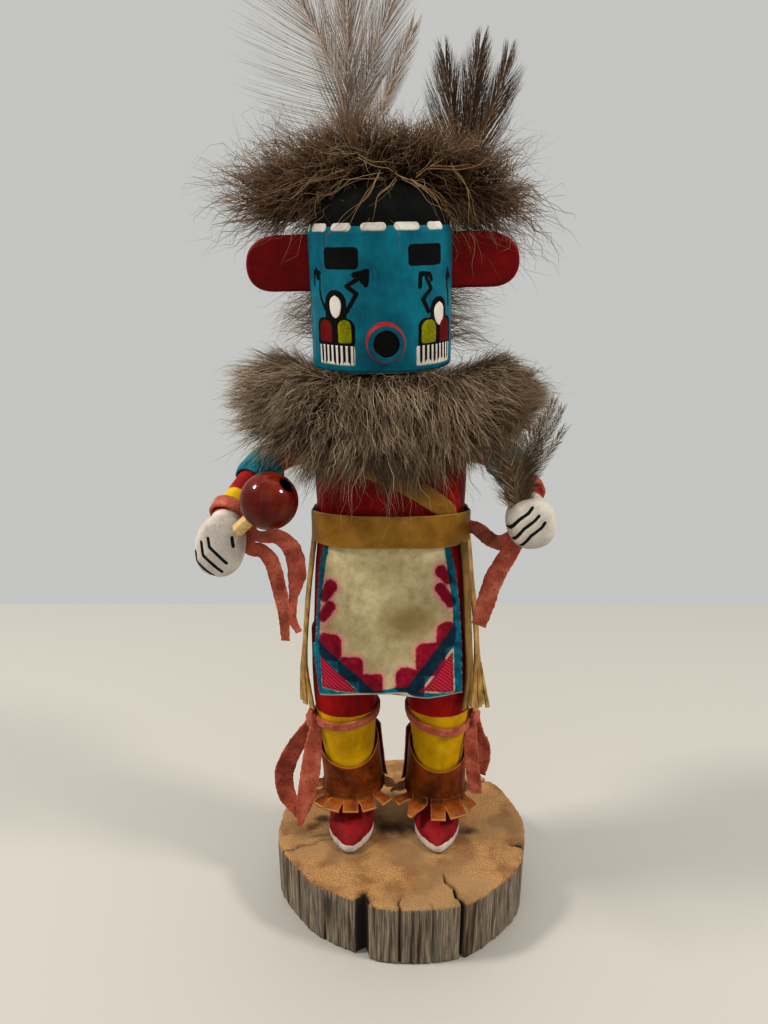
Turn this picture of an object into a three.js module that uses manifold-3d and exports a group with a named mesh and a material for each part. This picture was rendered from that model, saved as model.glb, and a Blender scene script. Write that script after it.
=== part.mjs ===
// A carved, painted and dressed kachina doll standing on a slice of branch.
// Millimetres, +Z up, the doll faces -Y. The origin is the centre of the slice's underside.
// "right" and "left" are the doll's own, so its right hand is on the -X side.
import * as THREE from "three";
import { mergeVertices } from "three/addons/utils/BufferGeometryUtils.js";
import Module from "manifold-3d";

// ---- Driving dimensions ----
const GAP = 0.3; // clearance between pieces that touch
const LEATHER = 0.9; // thickness of the leather and suede pieces
const LACE = 3.4; // width of the suede lace
const SLICE = { radius: 42.7, height: 19.5, edge: 0.8 };
const AXIS_X = -4; // the doll stands a little off the slice's centre
const BODY_SIDES = 24; // facets round the torso
const LEGS = {
  right: { hip: -15.6, ankle: -13.5, toe: -13.4 }, // places along X
  left: { hip: 16.3, ankle: 16.5, toe: 15.4 },
};
const BELT = { z: 127, height: 10, low: 4, high: 5 }; // low and high are levels of the torso
const APRON = { low: 74.6, high: 130, front: -17.9 }; // front is where its foot hangs along Y
const HEAD = { x: -2.7, y: -3, z: 176.7, lean: 10, turn: 3, roll: -1.6 };
const MASK = { halfWidth: 21, halfDepth: 17.6, height: 39.5, crown: 12.8 };
const SNOUT = { radius: 5.5, length: 5.4, height: 9.4, hole: 3.2, holeDepth: 2 };
const EAR = { right: 17.8, left: 19.8, height: 15.7, thickness: 4.4, low: 22.1 }; // right and left are lengths
const BEAD = { radius: 8, bore: 2.2, x: -33.6, y: -36.1, z: 139.9 };
const DOWEL_RADIUS = 1.9;
const RUFF = { halfWidth: 32, halfDepth: 17.5, reach: 18, tufts: 15 };
const CREST = { x: -2.5, y: -1, z: 229.5, halfWidth: 40, halfDepth: 25, halfHeight: 13 };

const wasm = await Module();
wasm.setup();
const DEG = Math.PI / 180;
const lerp = THREE.MathUtils.lerp;
const vec = (x, y, z) => new THREE.Vector3(x, y, z);

// ---- Shaping helpers ----

// Merges a geometry's shared corners, so that it is one closed surface.
function welded(geometry) {
  geometry.deleteAttribute("normal");
  geometry.deleteAttribute("uv");
  return mergeVertices(geometry, 1e-4);
}

// Moves every corner of a closed geometry with move(point), and leaves its faces pointing out.
function formed(geometry, move) {
  const shape = welded(geometry);
  const points = shape.attributes.position;
  const p = vec(0, 0, 0);
  for (let i = 0; i < points.count; i++) {
    p.fromBufferAttribute(points, i);
    const moved = move(p);
    points.setXYZ(i, moved.x, moved.y, moved.z);
  }
  return facingOut(shape);
}

// Turns a closed geometry's faces round if they point in.
function facingOut(shape) {
  const points = shape.attributes.position;
  const corners = shape.index.array;
  const [a, b, c] = [vec(0, 0, 0), vec(0, 0, 0), vec(0, 0, 0)];
  let volume = 0;
  for (let i = 0; i < corners.length; i += 3) {
    a.fromBufferAttribute(points, corners[i]);
    b.fromBufferAttribute(points, corners[i + 1]);
    c.fromBufferAttribute(points, corners[i + 2]);
    volume += a.dot(b.cross(c));
  }
  if (volume > 0) return shape;
  for (let i = 0; i < corners.length; i += 3) {
    [corners[i + 1], corners[i + 2]] = [corners[i + 2], corners[i + 1]];
  }
  return shape;
}

// A closed round form. at(bearing, height, spread) places a corner: bearing in radians, height and
// spread from 0 to 1, with spread 0 at the middle of each end.
function roundForm(around, levels, at) {
  const drum = new THREE.CylinderGeometry(1, 1, 1, around, levels).rotateX(Math.PI / 2);
  return formed(drum, (p) => {
    const spread = Math.round(Math.hypot(p.x, p.y));
    return at(spread ? Math.atan2(p.y, p.x) : 0, p.z + 0.5, spread);
  });
}

// A closed ring. at(bearing, out, up) places a corner: out is 0 inside and 1 outside, up is 0 to 1.
function ringForm(around, rows, at) {
  const profile = [new THREE.Vector2(1, 0)];
  for (let i = 0; i <= rows; i++) profile.push(new THREE.Vector2(2, i / rows));
  for (let i = rows; i >= 0; i--) profile.push(new THREE.Vector2(1, i / rows));
  const ring = new THREE.LatheGeometry(profile, around).rotateX(Math.PI / 2);
  return formed(ring, (p) => {
    const radius = Math.hypot(p.x, p.y);
    return at(Math.atan2(p.y, p.x), radius - 1, p.z);
  });
}

// A flat strip along a curve: its width lies across facing(t), its thickness along it.
function strip(curve, steps, width, thickness, facing) {
  const block = new THREE.BoxGeometry(1, 1, 1, 1, 1, steps);
  return formed(block, (p) => {
    const t = p.z + 0.5;
    const forward = curve.getTangentAt(t);
    const side = vec(0, 0, 0).crossVectors(forward, facing(t)).normalize();
    const out = vec(0, 0, 0).crossVectors(side, forward);
    return curve
      .getPointAt(t)
      .addScaledVector(side, p.x * width(t))
      .addScaledVector(out, p.y * thickness);
  });
}

// A round bar along a curve, with a radius for each place on it.
function bar(curve, around, steps, radius) {
  const frames = curve.computeFrenetFrames(steps, false);
  return roundForm(around, steps, (bearing, height, spread) => {
    const i = Math.round(height * steps);
    return curve
      .getPointAt(height)
      .addScaledVector(frames.normals[i], spread * radius(height) * Math.cos(bearing))
      .addScaledVector(frames.binormals[i], spread * radius(height) * Math.sin(bearing));
  });
}

// A tube wall round a curve from place t0 to place t1.
function sleeve(curve, around, steps, t0, t1, inner, outer) {
  const frames = curve.computeFrenetFrames(40, false);
  return ringForm(around, steps, (bearing, out, up) => {
    const t = lerp(t0, t1, up);
    const i = Math.round(t * 40);
    const radius = lerp(inner(t), outer(t), out);
    return curve
      .getPointAt(t)
      .addScaledVector(frames.normals[i], radius * Math.cos(bearing))
      .addScaledVector(frames.binormals[i], radius * Math.sin(bearing));
  });
}

// A solid of manifold-3d from a closed geometry, and the way back.
function solidOf(geometry) {
  const shape = facingOut(welded(geometry.clone()));
  return new wasm.Manifold(
    new wasm.Mesh({
      numProp: 3,
      vertProperties: new Float32Array(shape.attributes.position.array),
      triVerts: new Uint32Array(shape.index.array),
    }),
  );
}

function geometryOf(solid) {
  const mesh = solid.getMesh();
  const shape = new THREE.BufferGeometry();
  shape.setAttribute("position", new THREE.BufferAttribute(mesh.vertProperties, 3));
  shape.setIndex(new THREE.BufferAttribute(mesh.triVerts, 1));
  return shape;
}

// One geometry from several that overlap.
function joined(...geometries) {
  return geometryOf(geometries.map(solidOf).reduce((a, b) => a.add(b)));
}

// A geometry with others taken out of it. Crumbs that a cut leaves loose are dropped.
function cut(geometry, ...tools) {
  const left = tools.map(solidOf).reduce((a, b) => a.subtract(b), solidOf(geometry));
  const pieces = left.decompose().sort((a, b) => b.volume() - a.volume());
  return geometryOf(pieces[0]);
}

// A value that runs straight between the steps of a list of [place, value].
function along(steps, place) {
  const last = steps.length - 1;
  if (place <= steps[0][0]) return steps[0][1];
  if (place >= steps[last][0]) return steps[last][1];
  const i = steps.findIndex(([at]) => at > place);
  const [at0, value0] = steps[i - 1];
  const [at1, value1] = steps[i];
  return lerp(value0, value1, (place - at0) / (at1 - at0));
}

const curveThrough = (points) => new THREE.CatmullRomCurve3(points.map((p) => vec(...p)));

function paint(color, roughness) {
  return new THREE.MeshStandardMaterial({ color, roughness, metalness: 0 });
}

// ---- The slice of branch ----

// Drying cracks that open the rim: bearing in degrees, depth and half width in millimetres.
const CRACKS = [
  [-157, 2.2, 0.9],
  [-108, 3.6, 2.4],
  [-92, 1.5, 0.7],
  [-67, 3.2, 0.9],
  [-20, 3.0, 1.6],
  [38, 2.4, 0.9],
  [112, 2.8, 1.0],
];

function rimRadius(bearing) {
  const lobes = 1.3 * Math.cos(bearing + 60 * DEG) + 0.9 * Math.cos(3 * (bearing - 178 * DEG));
  const ribs = 0.35 * Math.cos(11 * bearing);
  return SLICE.radius + lobes + ribs;
}

function sliceGeometry() {
  const bearings = [];
  for (let degrees = -180; degrees < 180; degrees += 9) bearings.push(degrees);
  for (const [bearing, , half] of CRACKS) {
    const turn = half / SLICE.radius / DEG;
    for (let i = bearings.length - 1; i >= 0; i--) {
      if (Math.abs(bearings[i] - bearing) < turn + 1.2) bearings.splice(i, 1);
    }
    bearings.push(bearing - turn, bearing, bearing + turn);
  }
  bearings.sort((a, b) => a - b);
  const deep = new Map(CRACKS.map(([bearing, depth]) => [bearing, depth]));
  const count = bearings.length;
  // Share of the height and inset of the rim: a slight batter below and a worn edge on top.
  const levels = [
    [0, -0.9],
    [1 - SLICE.edge / SLICE.height, 0],
    [1, -0.5],
  ];
  return roundForm(count, 2, (turn, height, spread) => {
    const i = (Math.round((turn / (2 * Math.PI)) * count) + count) % count;
    const degrees = bearings[i];
    const [share, inset] = levels[Math.round(height * 2)];
    const radius = rimRadius(degrees * DEG) + inset - (deep.get(degrees) ?? 0);
    return vec(
      spread * radius * Math.cos(degrees * DEG),
      spread * radius * Math.sin(degrees * DEG),
      share * SLICE.height,
    );
  });
}

// ---- The carved body: torso, neck, legs and moccasins in one piece of root wood ----

// Height, half width and half depth of the torso from the crotch to the neck.
const TORSO = [
  [80, 21, 13],
  [83, 25, 15.6],
  [98, 25.2, 16.4],
  [112, 24.6, 16.6],
  [122, 23.7, 16.4],
  [132, 23.7, 16.3],
  [145, 24, 16],
  [151, 22.5, 14.5],
  [155.5, 17.5, 12],
  [158, 11, 9.8],
  [160, 9.2, 9],
];
const TORSO_TOP = TORSO.length - 1;

// A point of the torso's surface at a level of TORSO, which may lie between two steps.
// The section is an oval, a little squarer than an ellipse.
const SQUARENESS = 2.3;

function torsoPoint(bearing, level, grow = 0) {
  const i = Math.min(Math.floor(level), TORSO_TOP - 1);
  const share = level - i;
  const [z, halfWidth, halfDepth] = TORSO[i].map((value, k) => lerp(value, TORSO[i + 1][k], share));
  const squareness = Math.pow(
    Math.pow(Math.abs(Math.cos(bearing)), SQUARENESS) +
      Math.pow(Math.abs(Math.sin(bearing)), SQUARENESS),
    -1 / SQUARENESS,
  );
  return vec(
    (halfWidth + grow) * squareness * Math.cos(bearing),
    (halfDepth + grow) * squareness * Math.sin(bearing),
    z,
  );
}

function torsoNormal(bearing, level) {
  const round = torsoPoint(bearing + 0.01, level).sub(torsoPoint(bearing - 0.01, level));
  const up = torsoPoint(bearing, level + 0.02).sub(torsoPoint(bearing, level - 0.02));
  return round.cross(up).normalize();
}

// A point that stands off the torso's surface.
function offTorso(bearing, level, out) {
  return torsoPoint(bearing, level).addScaledVector(torsoNormal(bearing, level), out);
}

// The neck ends on the mask's tilted underside.
function torsoGeometry(around, grow = 0) {
  const levels = TORSO_TOP + 1;
  return roundForm(around, levels, (bearing, height, spread) => {
    const level = Math.round(height * levels);
    const p = torsoPoint(bearing, Math.min(level, TORSO_TOP), grow);
    if (level === 0) p.z -= grow;
    p.x *= spread;
    p.y *= spread;
    if (level === levels) {
      p.x += HEAD.x / 2;
      p.y += HEAD.y;
      p.z = HEAD.z - 2 * GAP + (p.y - HEAD.y) * Math.tan(HEAD.lean * DEG);
    }
    return p;
  });
}

// Height above the slice and radius of a leg.
const LEG = [
  [22, 7.4],
  [40, 8.1],
  [50, 8.9],
  [58, 9.8],
  [68, 10.6],
  [92, 10.8],
];

function legCentre(side, z) {
  return lerp(LEGS[side].ankle, LEGS[side].hip, THREE.MathUtils.smoothstep(z, 30, 80));
}

function legGeometry(side, grow = 0) {
  const steps = LEG.length - 1;
  return roundForm(14, steps, (bearing, height, spread) => {
    const [z, radius] = LEG[Math.round(height * steps)];
    return vec(
      legCentre(side, z) + spread * (radius + grow) * Math.cos(bearing),
      spread * (radius + grow) * Math.sin(bearing),
      z,
    );
  });
}

// Place along Y, half width and height of a moccasin from the heel to the toe.
const MOCCASIN = [
  [9.2, 4.6, 6],
  [7.4, 6.8, 8.6],
  [0, 7.3, 10],
  [-7, 7.6, 9],
  [-12.5, 6, 6.8],
  [-16.8, 3.1, 5],
  [-19.4, 0.9, 3.4],
];

function moccasinGeometry(side) {
  const steps = MOCCASIN.length - 1;
  const drift = LEGS[side].toe - LEGS[side].ankle;
  return roundForm(12, steps, (bearing, height, spread) => {
    const [y, halfWidth, tall] = MOCCASIN[Math.round(height * steps)];
    const rise = Math.max(0, Math.sin(bearing));
    return vec(
      LEGS[side].ankle + drift * height + spread * halfWidth * Math.cos(bearing),
      y,
      SLICE.height + (spread ? tall * Math.pow(rise, 0.75) : tall / 2),
    );
  });
}

// ---- The mask helmet, its snout and ears ----

// A point of the mask helmet in its own frame, where its underside is the plane z = 0.
const HELMET = [
  [0, 0.965],
  [1.2, 1],
  [MASK.height, 1],
  ...[0.4, 0.7, 0.92].map((rise) => [
    MASK.height + rise * MASK.crown,
    Math.sqrt(1 - rise * rise),
  ]),
];

function helmetGeometry(around, grow = 0) {
  const steps = HELMET.length - 1;
  return roundForm(around, steps, (bearing, height, spread) => {
    const [z, share] = HELMET[Math.round(height * steps)];
    const end = height < 0.01 ? -grow : height > 0.99 ? grow : 0;
    const top = !spread && height > 0.99 ? 0.6 : 0;
    return vec(
      spread * (MASK.halfWidth * share + grow) * Math.cos(bearing),
      spread * (MASK.halfDepth * share + grow) * Math.sin(bearing),
      z + end + top,
    );
  });
}

// A short tube on the front of the mask, hollowed by a shallow hole.
function snoutGeometry() {
  const back = MASK.halfDepth + GAP;
  const around = 18;
  const sides = [
    [0, 1],
    [0.8, 1],
    [1, 0.93],
  ];
  const tube = roundForm(around, 2, (bearing, height, spread) => {
    const [out, share] = sides[Math.round(height * 2)];
    const x = spread * SNOUT.radius * share * Math.cos(bearing);
    const root = MASK.halfDepth - MASK.halfDepth * Math.sqrt(1 - (x / MASK.halfWidth) ** 2);
    return vec(
      x,
      -back + (height ? 0 : root) - out * SNOUT.length,
      SNOUT.height + spread * SNOUT.radius * share * Math.sin(bearing),
    );
  });
  const drill = new THREE.CylinderGeometry(SNOUT.hole, SNOUT.hole, 2 * SNOUT.holeDepth, around);
  drill.translate(0, -back - SNOUT.length, SNOUT.height);
  return cut(tube, drill);
}

// A flat rounded paddle.
function earGeometry(side, grow = 0) {
  const outward = side === "right" ? -1 : 1;
  const reach = EAR[side];
  const half = EAR.height / 2;
  const start = MASK.halfWidth + GAP;
  const outline = new THREE.Shape();
  outline.moveTo(start, -half);
  outline.lineTo(start + reach * 0.62, -half);
  outline.bezierCurveTo(
    start + reach * 0.9,
    -half,
    start + reach,
    -half * 0.6,
    start + reach,
    -half * 0.05,
  );
  outline.bezierCurveTo(
    start + reach,
    half * 0.55,
    start + reach * 0.86,
    half * 0.95,
    start + reach * 0.55,
    half,
  );
  outline.lineTo(start, half * 1.02);
  outline.closePath();
  const plate = new THREE.ExtrudeGeometry(outline, {
    depth: EAR.thickness - 1.2 + 2 * grow,
    curveSegments: 4,
    bevelThickness: 0.6,
    bevelSize: 0.6 + grow,
    bevelOffset: -0.6,
    bevelSegments: 1,
  });
  plate.translate(0, 0, -(EAR.thickness - 1.2 + 2 * grow) / 2);
  plate.rotateX(Math.PI / 2);
  plate.translate(0, 0, EAR.low + half);
  return formed(plate, (p) => {
    const root = MASK.halfWidth * (1 - Math.sqrt(1 - (p.y / MASK.halfDepth) ** 2));
    const near = THREE.MathUtils.clamp(1 - (p.x - start) / 4, 0, 1);
    return vec(outward * (p.x - root * near), p.y, p.z);
  });
}

// Turns a geometry of the mask's frame into the doll's frame.
function onHead(geometry) {
  const place = new THREE.Matrix4().compose(
    vec(HEAD.x, HEAD.y, HEAD.z),
    new THREE.Quaternion().setFromEuler(
      new THREE.Euler(HEAD.lean * DEG, HEAD.roll * DEG, HEAD.turn * DEG, "ZYX"),
    ),
    vec(1, 1, 1),
  );
  return geometry.clone().applyMatrix4(place);
}

// ---- Arms with their hands ----

const ARM_CURVES = {
  right: curveThrough([
    [-19.6, 0, 150.6],
    [-26, -0.6, 150.8],
    [-34, -2.6, 148.8],
    [-40.4, -6.4, 144.4],
    [-43.6, -11.5, 140],
    [-46.6, -17.5, 135.4],
    [-48.8, -23, 131],
    [-49.2, -27, 127],
  ]),
  left: curveThrough([
    [19.6, 0, 150.8],
    [25, -0.6, 151.2],
    [31, -2.4, 149.8],
    [35.8, -6.4, 147],
    [38, -11.5, 143.5],
    [39.4, -17, 140],
    [40, -22.5, 136.3],
    [39.8, -26.5, 133.6],
  ]),
};
const HANDS = {
  right: { at: [-49.2, -28, 125.4], size: [7.1, 7.4, 9], lean: 12 },
  left: { at: [39.7, -28.4, 132.4], size: [7, 7.8, 7.6], lean: -14 },
};
const armRadius = (t) => lerp(4.9, 4.3, t);

// A fist: a rounded block whose front is a little flattened by the curled fingers.
function handGeometry(side, grow = 0) {
  const { at, size, lean } = HANDS[side];
  const ball = new THREE.SphereGeometry(1, 12, 8);
  const hand = formed(ball, (p) => {
    const soften = (value) => Math.sign(value) * Math.pow(Math.abs(value), 0.86);
    const front = p.y < -0.6 ? -0.6 + (p.y + 0.6) * 0.5 : p.y;
    return vec(
      soften(p.x) * (size[0] + grow),
      front * (size[1] + grow),
      soften(p.z) * (size[2] + grow),
    );
  });
  return hand.rotateY(lean * DEG).translate(...at);
}

function armGeometry(side, socket) {
  const arm = joined(bar(ARM_CURVES[side], 10, 8, armRadius), handGeometry(side));
  return cut(arm, torsoGeometry(BODY_SIDES, GAP), socket);
}

// The rattle's stick runs from inside the fist into the bead's bore.
const beadCentre = vec(BEAD.x, BEAD.y, BEAD.z);
const stickWay = beadCentre.clone().sub(vec(...HANDS.right.at)).normalize();

function rod(start, end, radius, around) {
  const length = start.distanceTo(end);
  const shape = new THREE.CylinderGeometry(radius, radius, length, around);
  const turn = new THREE.Quaternion().setFromUnitVectors(
    vec(0, 1, 0),
    end.clone().sub(start).normalize(),
  );
  shape.applyQuaternion(turn);
  const middle = start.clone().lerp(end, 0.5);
  return shape.translate(middle.x, middle.y, middle.z);
}

const stickStart = vec(...HANDS.right.at).addScaledVector(stickWay, -1);
const stickEnd = beadCentre.clone().addScaledVector(stickWay, 2.5);

function beadGeometry() {
  const ball = new THREE.SphereGeometry(BEAD.radius, 14, 10);
  ball.translate(BEAD.x, BEAD.y, BEAD.z);
  const from = beadCentre.clone().addScaledVector(stickWay, -2 * BEAD.radius);
  const to = beadCentre.clone().addScaledVector(stickWay, 2 * BEAD.radius);
  return cut(ball, rod(from, to, BEAD.bore, 8));
}

// ---- Leather and suede dress ----

function armbandGeometry(side) {
  const [t0, t1] = side === "right" ? [0.36, 0.55] : [0.34, 0.54];
  const inner = (t) => armRadius(t) + GAP;
  const outer = (t) => armRadius(t) + GAP + LEATHER;
  return sleeve(ARM_CURVES[side], 10, 2, t0, t1, inner, outer);
}

// A lace round the wrist with its two ends hanging in one piece with it.
function wristTieGeometry(side) {
  const inner = (t) => armRadius(t) + GAP;
  const outer = (t) => armRadius(t) + GAP + LEATHER + 0.2;
  const [t0, t1] = side === "right" ? [0.78, 0.85] : [0.74, 0.8];
  const band = sleeve(ARM_CURVES[side], 10, 1, t0, t1, inner, outer);
  const ends = {
    right: [
      [
        [-44.6, -22.4, 131.6],
        [-42.4, -21.6, 128],
        [-39.4, -21, 126.2],
        [-34, -21.2, 126],
        [-29, -21.4, 122.8],
        [-27.6, -21.6, 116.5],
        [-28.4, -21.7, 108],
        [-28.2, -21.8, 97.2],
      ],
      [
        [-44.6, -23, 131.2],
        [-43, -23, 126.2],
        [-40, -22.8, 122.6],
        [-35.6, -23, 119.6],
        [-32.6, -23.2, 112.5],
        [-31.4, -23.3, 104.5],
        [-31.2, -23.4, 94.5],
      ],
    ],
    left: [
      [
        [39.4, -18.6, 133.8],
        [36, -19.4, 129],
        [31.6, -17.6, 125.2],
        [28.6, -11, 124.6],
        [26.6, -2, 125.2],
        [25.2, 5, 124.6],
      ],
      [
        [40.2, -19.2, 133.4],
        [37.4, -20.6, 126.8],
        [33.2, -20.8, 119.8],
        [29.6, -20.4, 112],
        [27, -19.8, 105],
        [25.8, -19.4, 98],
      ],
    ],
  };
  const front = () => vec(0.05, -1, 0.1);
  const laces = ends[side].map((points) =>
    strip(curveThrough(points), 9, () => LACE, LEATHER, front),
  );
  const wrist = bar(ARM_CURVES[side], 10, 8, (t) => armRadius(t) + 0.8 * GAP);
  return cut(joined(band, ...laces), wrist, handGeometry(side, 2 * GAP));
}

// The belt goes round the waist, and over the apron's top in front.
function beltGeometry() {
  return ringForm(36, 1, (bearing, out, up) => {
    const overApron = THREE.MathUtils.smoothstep(-Math.sin(bearing), 0.1, 0.35) * (LEATHER + GAP);
    const p = offTorso(bearing, lerp(BELT.low, BELT.high, up), GAP + overApron + out * LEATHER);
    p.z = lerp(BELT.z - BELT.height / 2, BELT.z + BELT.height / 2, up);
    return p;
  });
}

// A strap from the belt at the left front, over the right shoulder, to the belt at the left back.
function bandolierGeometry(grow = 0) {
  const route = [
    [-51, 5.14],
    [-81, 5.75],
    [-112, 6.4],
    [-140, 7.4],
    [-180, 8.35],
    [-220, 7.4],
    [-248, 6.4],
    [-276, 5.75],
    [-305, 5.14],
  ];
  const places = new THREE.SplineCurve(route.map((place) => new THREE.Vector2(...place)));
  const points = places.getPoints(32).map(({ x, y }) => offTorso(x * DEG, y, 2 * GAP + LEATHER / 2));
  const curve = new THREE.CatmullRomCurve3(points);
  const facing = (t) => {
    const { x, y } = places.getPoint(t);
    return torsoNormal(x * DEG, y);
  };
  const strap = strip(curve, 24, () => 6 + 2 * grow, LEATHER + 2 * grow, facing);
  const beltTop = BELT.z + BELT.height / 2 + GAP - grow;
  const trim = new THREE.BoxGeometry(90, 90, beltTop);
  trim.translate(0, 0, beltTop / 2);
  return grow ? strap : cut(strap, torsoGeometry(BODY_SIDES, GAP * 0.6), trim);
}

// A painted chamois panel that hangs from under the belt and follows the body's front.
// Its side edges: height, then the places of the right and the left edge along X.
const APRON_EDGES = [
  [74.6, -22.6, 22.6],
  [88.5, -24.7, 22.3],
  [92, -23.8, 22.2],
  [104, -23.2, 21.4],
  [114, -22.6, 20],
  [122, -20.8, 18.2],
  [130, -19.4, 16.8],
];

// The oval front of the torso at a place along X and a height, a distance out from its surface.
function torsoFront(x, z, out) {
  const halfWidth = along(TORSO.map(([height, half]) => [height, half]), z) + out;
  const halfDepth = along(TORSO.map(([height, , half]) => [height, half]), z) + out;
  const share = Math.min(1, Math.abs(x) / halfWidth);
  return -halfDepth * Math.pow(1 - Math.pow(share, SQUARENESS), 1 / SQUARENESS);
}

function apronGeometry() {
  const rightEdge = APRON_EDGES.map(([z, x]) => [z, x]);
  const leftEdge = APRON_EDGES.map(([z, , x]) => [z, x]);
  const plate = new THREE.BoxGeometry(1, 1, 1, 12, 1, 7);
  return formed(plate, (p) => {
    const down = 0.5 - p.z;
    const level = lerp(APRON.high, APRON.low, down);
    const x = lerp(along(rightEdge, level), along(leftEdge, level), p.x + 0.5);
    const arch = 1.8 * (1 - 4 * p.x * p.x) - 1.1 * Math.sin(9 * p.x + 0.6);
    const out = (0.5 - p.y) * LEATHER;
    const close = torsoFront(x, level, 1.4 * GAP + out);
    const flat = APRON.front + 0.006 * x * x + 0.45 * Math.sin(0.42 * x) - out;
    const hang = THREE.MathUtils.smoothstep(down, 0.15, 1);
    return vec(x, lerp(close, flat, hang), level + arch * Math.pow(down, 6));
  });
}

// Narrow leather sash ends that hang beside the hips from under the belt. Each is a route, a width,
// the flare of its foot, and the bearings that its face looks to at the belt and at the foot.
const SASHES = {
  sash_right: {
    width: 6.4,
    flare: 1.25,
    faces: [-165, -140],
    route: [
      [-24.7, -2.4, 121.4],
      [-26.4, -2.6, 108],
      [-27.4, -3, 98],
      [-28.3, -3, 86],
      [-28.7, -3, 76],
      [-27.9, -3.4, 64],
    ],
  },
  sash_left_front: {
    width: 5,
    flare: 1.2,
    faces: [-30, -30],
    route: [
      [23, -8.2, 121.4],
      [24.2, -8.4, 108],
      [24.8, -8.6, 94],
      [25.6, -8.6, 77],
      [24.4, -9.2, 65],
    ],
  },
  sash_left_back: {
    width: 6,
    flare: 1.6,
    faces: [-18, -50],
    route: [
      [25.1, -0.8, 121.4],
      [26.5, -0.6, 108],
      [28.4, 0, 92],
      [29.3, -0.6, 74],
      [29.7, -2.8, 62.4],
    ],
  },
};

function sashGeometry({ route, width, flare, faces }) {
  const facing = (t) => {
    const bearing = lerp(...faces, THREE.MathUtils.smoothstep(t, 0.6, 1)) * DEG;
    return vec(Math.cos(bearing), Math.sin(bearing), 0);
  };
  const across = (t) => width * lerp(1, flare, THREE.MathUtils.smoothstep(t, 0.65, 1));
  return strip(curveThrough(route), 8, across, LEATHER, facing);
}

// A lace tied below the knee, its knot on the outer side and two ends hanging. dip is how far it
// drops in front, tilt how far on the outer side. Knot and ends are placed from the leg's axis.
const GARTERS = {
  right: {
    height: 61.4,
    dip: 1.2,
    tilt: 1.2,
    knot: [-11, -3, 59.2],
    breadth: [3.4, 6, 6.4, 5.6, 2.2],
    ends: [
      [
        [-11.6, -2.6, 59],
        [-14.8, -2.8, 53.3],
        [-19.2, -2.8, 46],
        [-21.6, -3, 38.5],
        [-20.4, -3.5, 30.9],
        [-15.4, -5.6, 23.4],
      ],
      [
        [-11, -4, 58.6],
        [-10.6, -6, 54.4],
        [-11.4, -7.6, 47.6],
        [-12.2, -8.6, 41.4],
        [-14, -9.4, 32],
        [-15.8, -10, 24.2],
      ],
    ],
  },
  left: {
    height: 60.5,
    dip: 2.4,
    tilt: 1.6,
    knot: [11.6, -0.6, 59],
    breadth: [3.4, 4, 4.4, 4.2, 3.6],
    ends: [
      [
        [11.4, -2, 59],
        [10.6, -5, 52.6],
        [10.8, -6.6, 48],
        [11.3, -7.2, 43],
        [12.9, -7.6, 34.6],
      ],
      [
        [12, 0, 59],
        [13.7, 0.6, 52],
        [15.6, 1, 48],
        [16, 1, 43],
        [14.9, 1.4, 36.6],
      ],
    ],
  },
};

function garterGeometry(side) {
  const { height, dip, tilt, knot, breadth, ends } = GARTERS[side];
  const outward = side === "right" ? -1 : 1;
  const centre = legCentre(side, height);
  const ring = ringForm(14, 1, (bearing, out, up) => {
    const slope = dip * Math.sin(bearing) - tilt * outward * Math.cos(bearing);
    const z = height + slope + (up - 0.5) * LACE * 0.75;
    const radius = along(LEG, z) + GAP + out * (LEATHER + 0.1);
    return vec(centre + radius * Math.cos(bearing), radius * Math.sin(bearing), z);
  });
  const ball = formed(new THREE.SphereGeometry(1, 7, 5), (p) =>
    vec(centre + knot[0] + 1.9 * p.x, knot[1] + 2.4 * p.y, knot[2] + 2.5 * p.z),
  );
  const laces = ends.map((points) => {
    const placed = points.map(([x, y, z]) => [centre + x, y, z]);
    const width = (t) => along(breadth.map((value, i) => [i / 4, value]), t);
    return strip(curveThrough(placed), 8, width, LEATHER, () => vec(-0.3 * outward, -1, 0));
  });
  return cut(joined(ring, ball, ...laces), legGeometry(side, GAP * 0.8));
}

// A leather wrap round the lower leg, high at the back inside, with a fringe cut into its foot.
const BOOT_FOOT = { right: 33, left: 31.4 };
const BOOT_RISE = 11.8; // height of the wrap in front
const FRINGE = [-158, -122, -96, -70, -40, 0, 60, 120];

function bootGeometry(side) {
  const inward = side === "right" ? 1 : -1;
  const foot = BOOT_FOOT[side];
  // A point of the wrap: out is 0 on its inside and 1 on its outside, up is 0 to 1.
  const wrap = (bearing, out, up) => {
    const back = 0.5 + 0.5 * Math.sin(bearing);
    const inner = 0.5 + 0.5 * inward * Math.cos(bearing);
    const z = lerp(foot, foot + BOOT_RISE + 9 * back + 3.5 * inner * back, up);
    const flare = 4 * back * inner * (1 - up);
    const radius = along(LEG, z) + 2 * GAP + flare + out * LEATHER;
    return vec(legCentre(side, z) + radius * Math.cos(bearing), radius * Math.sin(bearing), z);
  };
  const tabs = FRINGE.map((degrees, i) => {
    const bearing = degrees * DEG;
    const way = vec(Math.cos(bearing), Math.sin(bearing), 0);
    const reach = 4.1 + 1.1 * Math.sin(2.4 * i);
    const edge = wrap(bearing, 0.5, 0);
    const fold = edge.clone().addScaledVector(way, 1).add(vec(0, 0, -0.9));
    const tip = edge.clone().addScaledVector(way, reach).add(vec(0, 0, -3.4 - 0.7 * Math.cos(3 * i)));
    const curve = new THREE.CatmullRomCurve3([wrap(bearing, 0.5, 0.12), edge, fold, tip]);
    const lift = vec(0, 0, 1).add(way);
    return strip(curve, 3, (t) => 3.8 + 0.7 * t, LEATHER, () => lift);
  });
  return joined(ringForm(18, 1, wrap), ...tabs);
}

// ---- Fur and feathers ----

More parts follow.
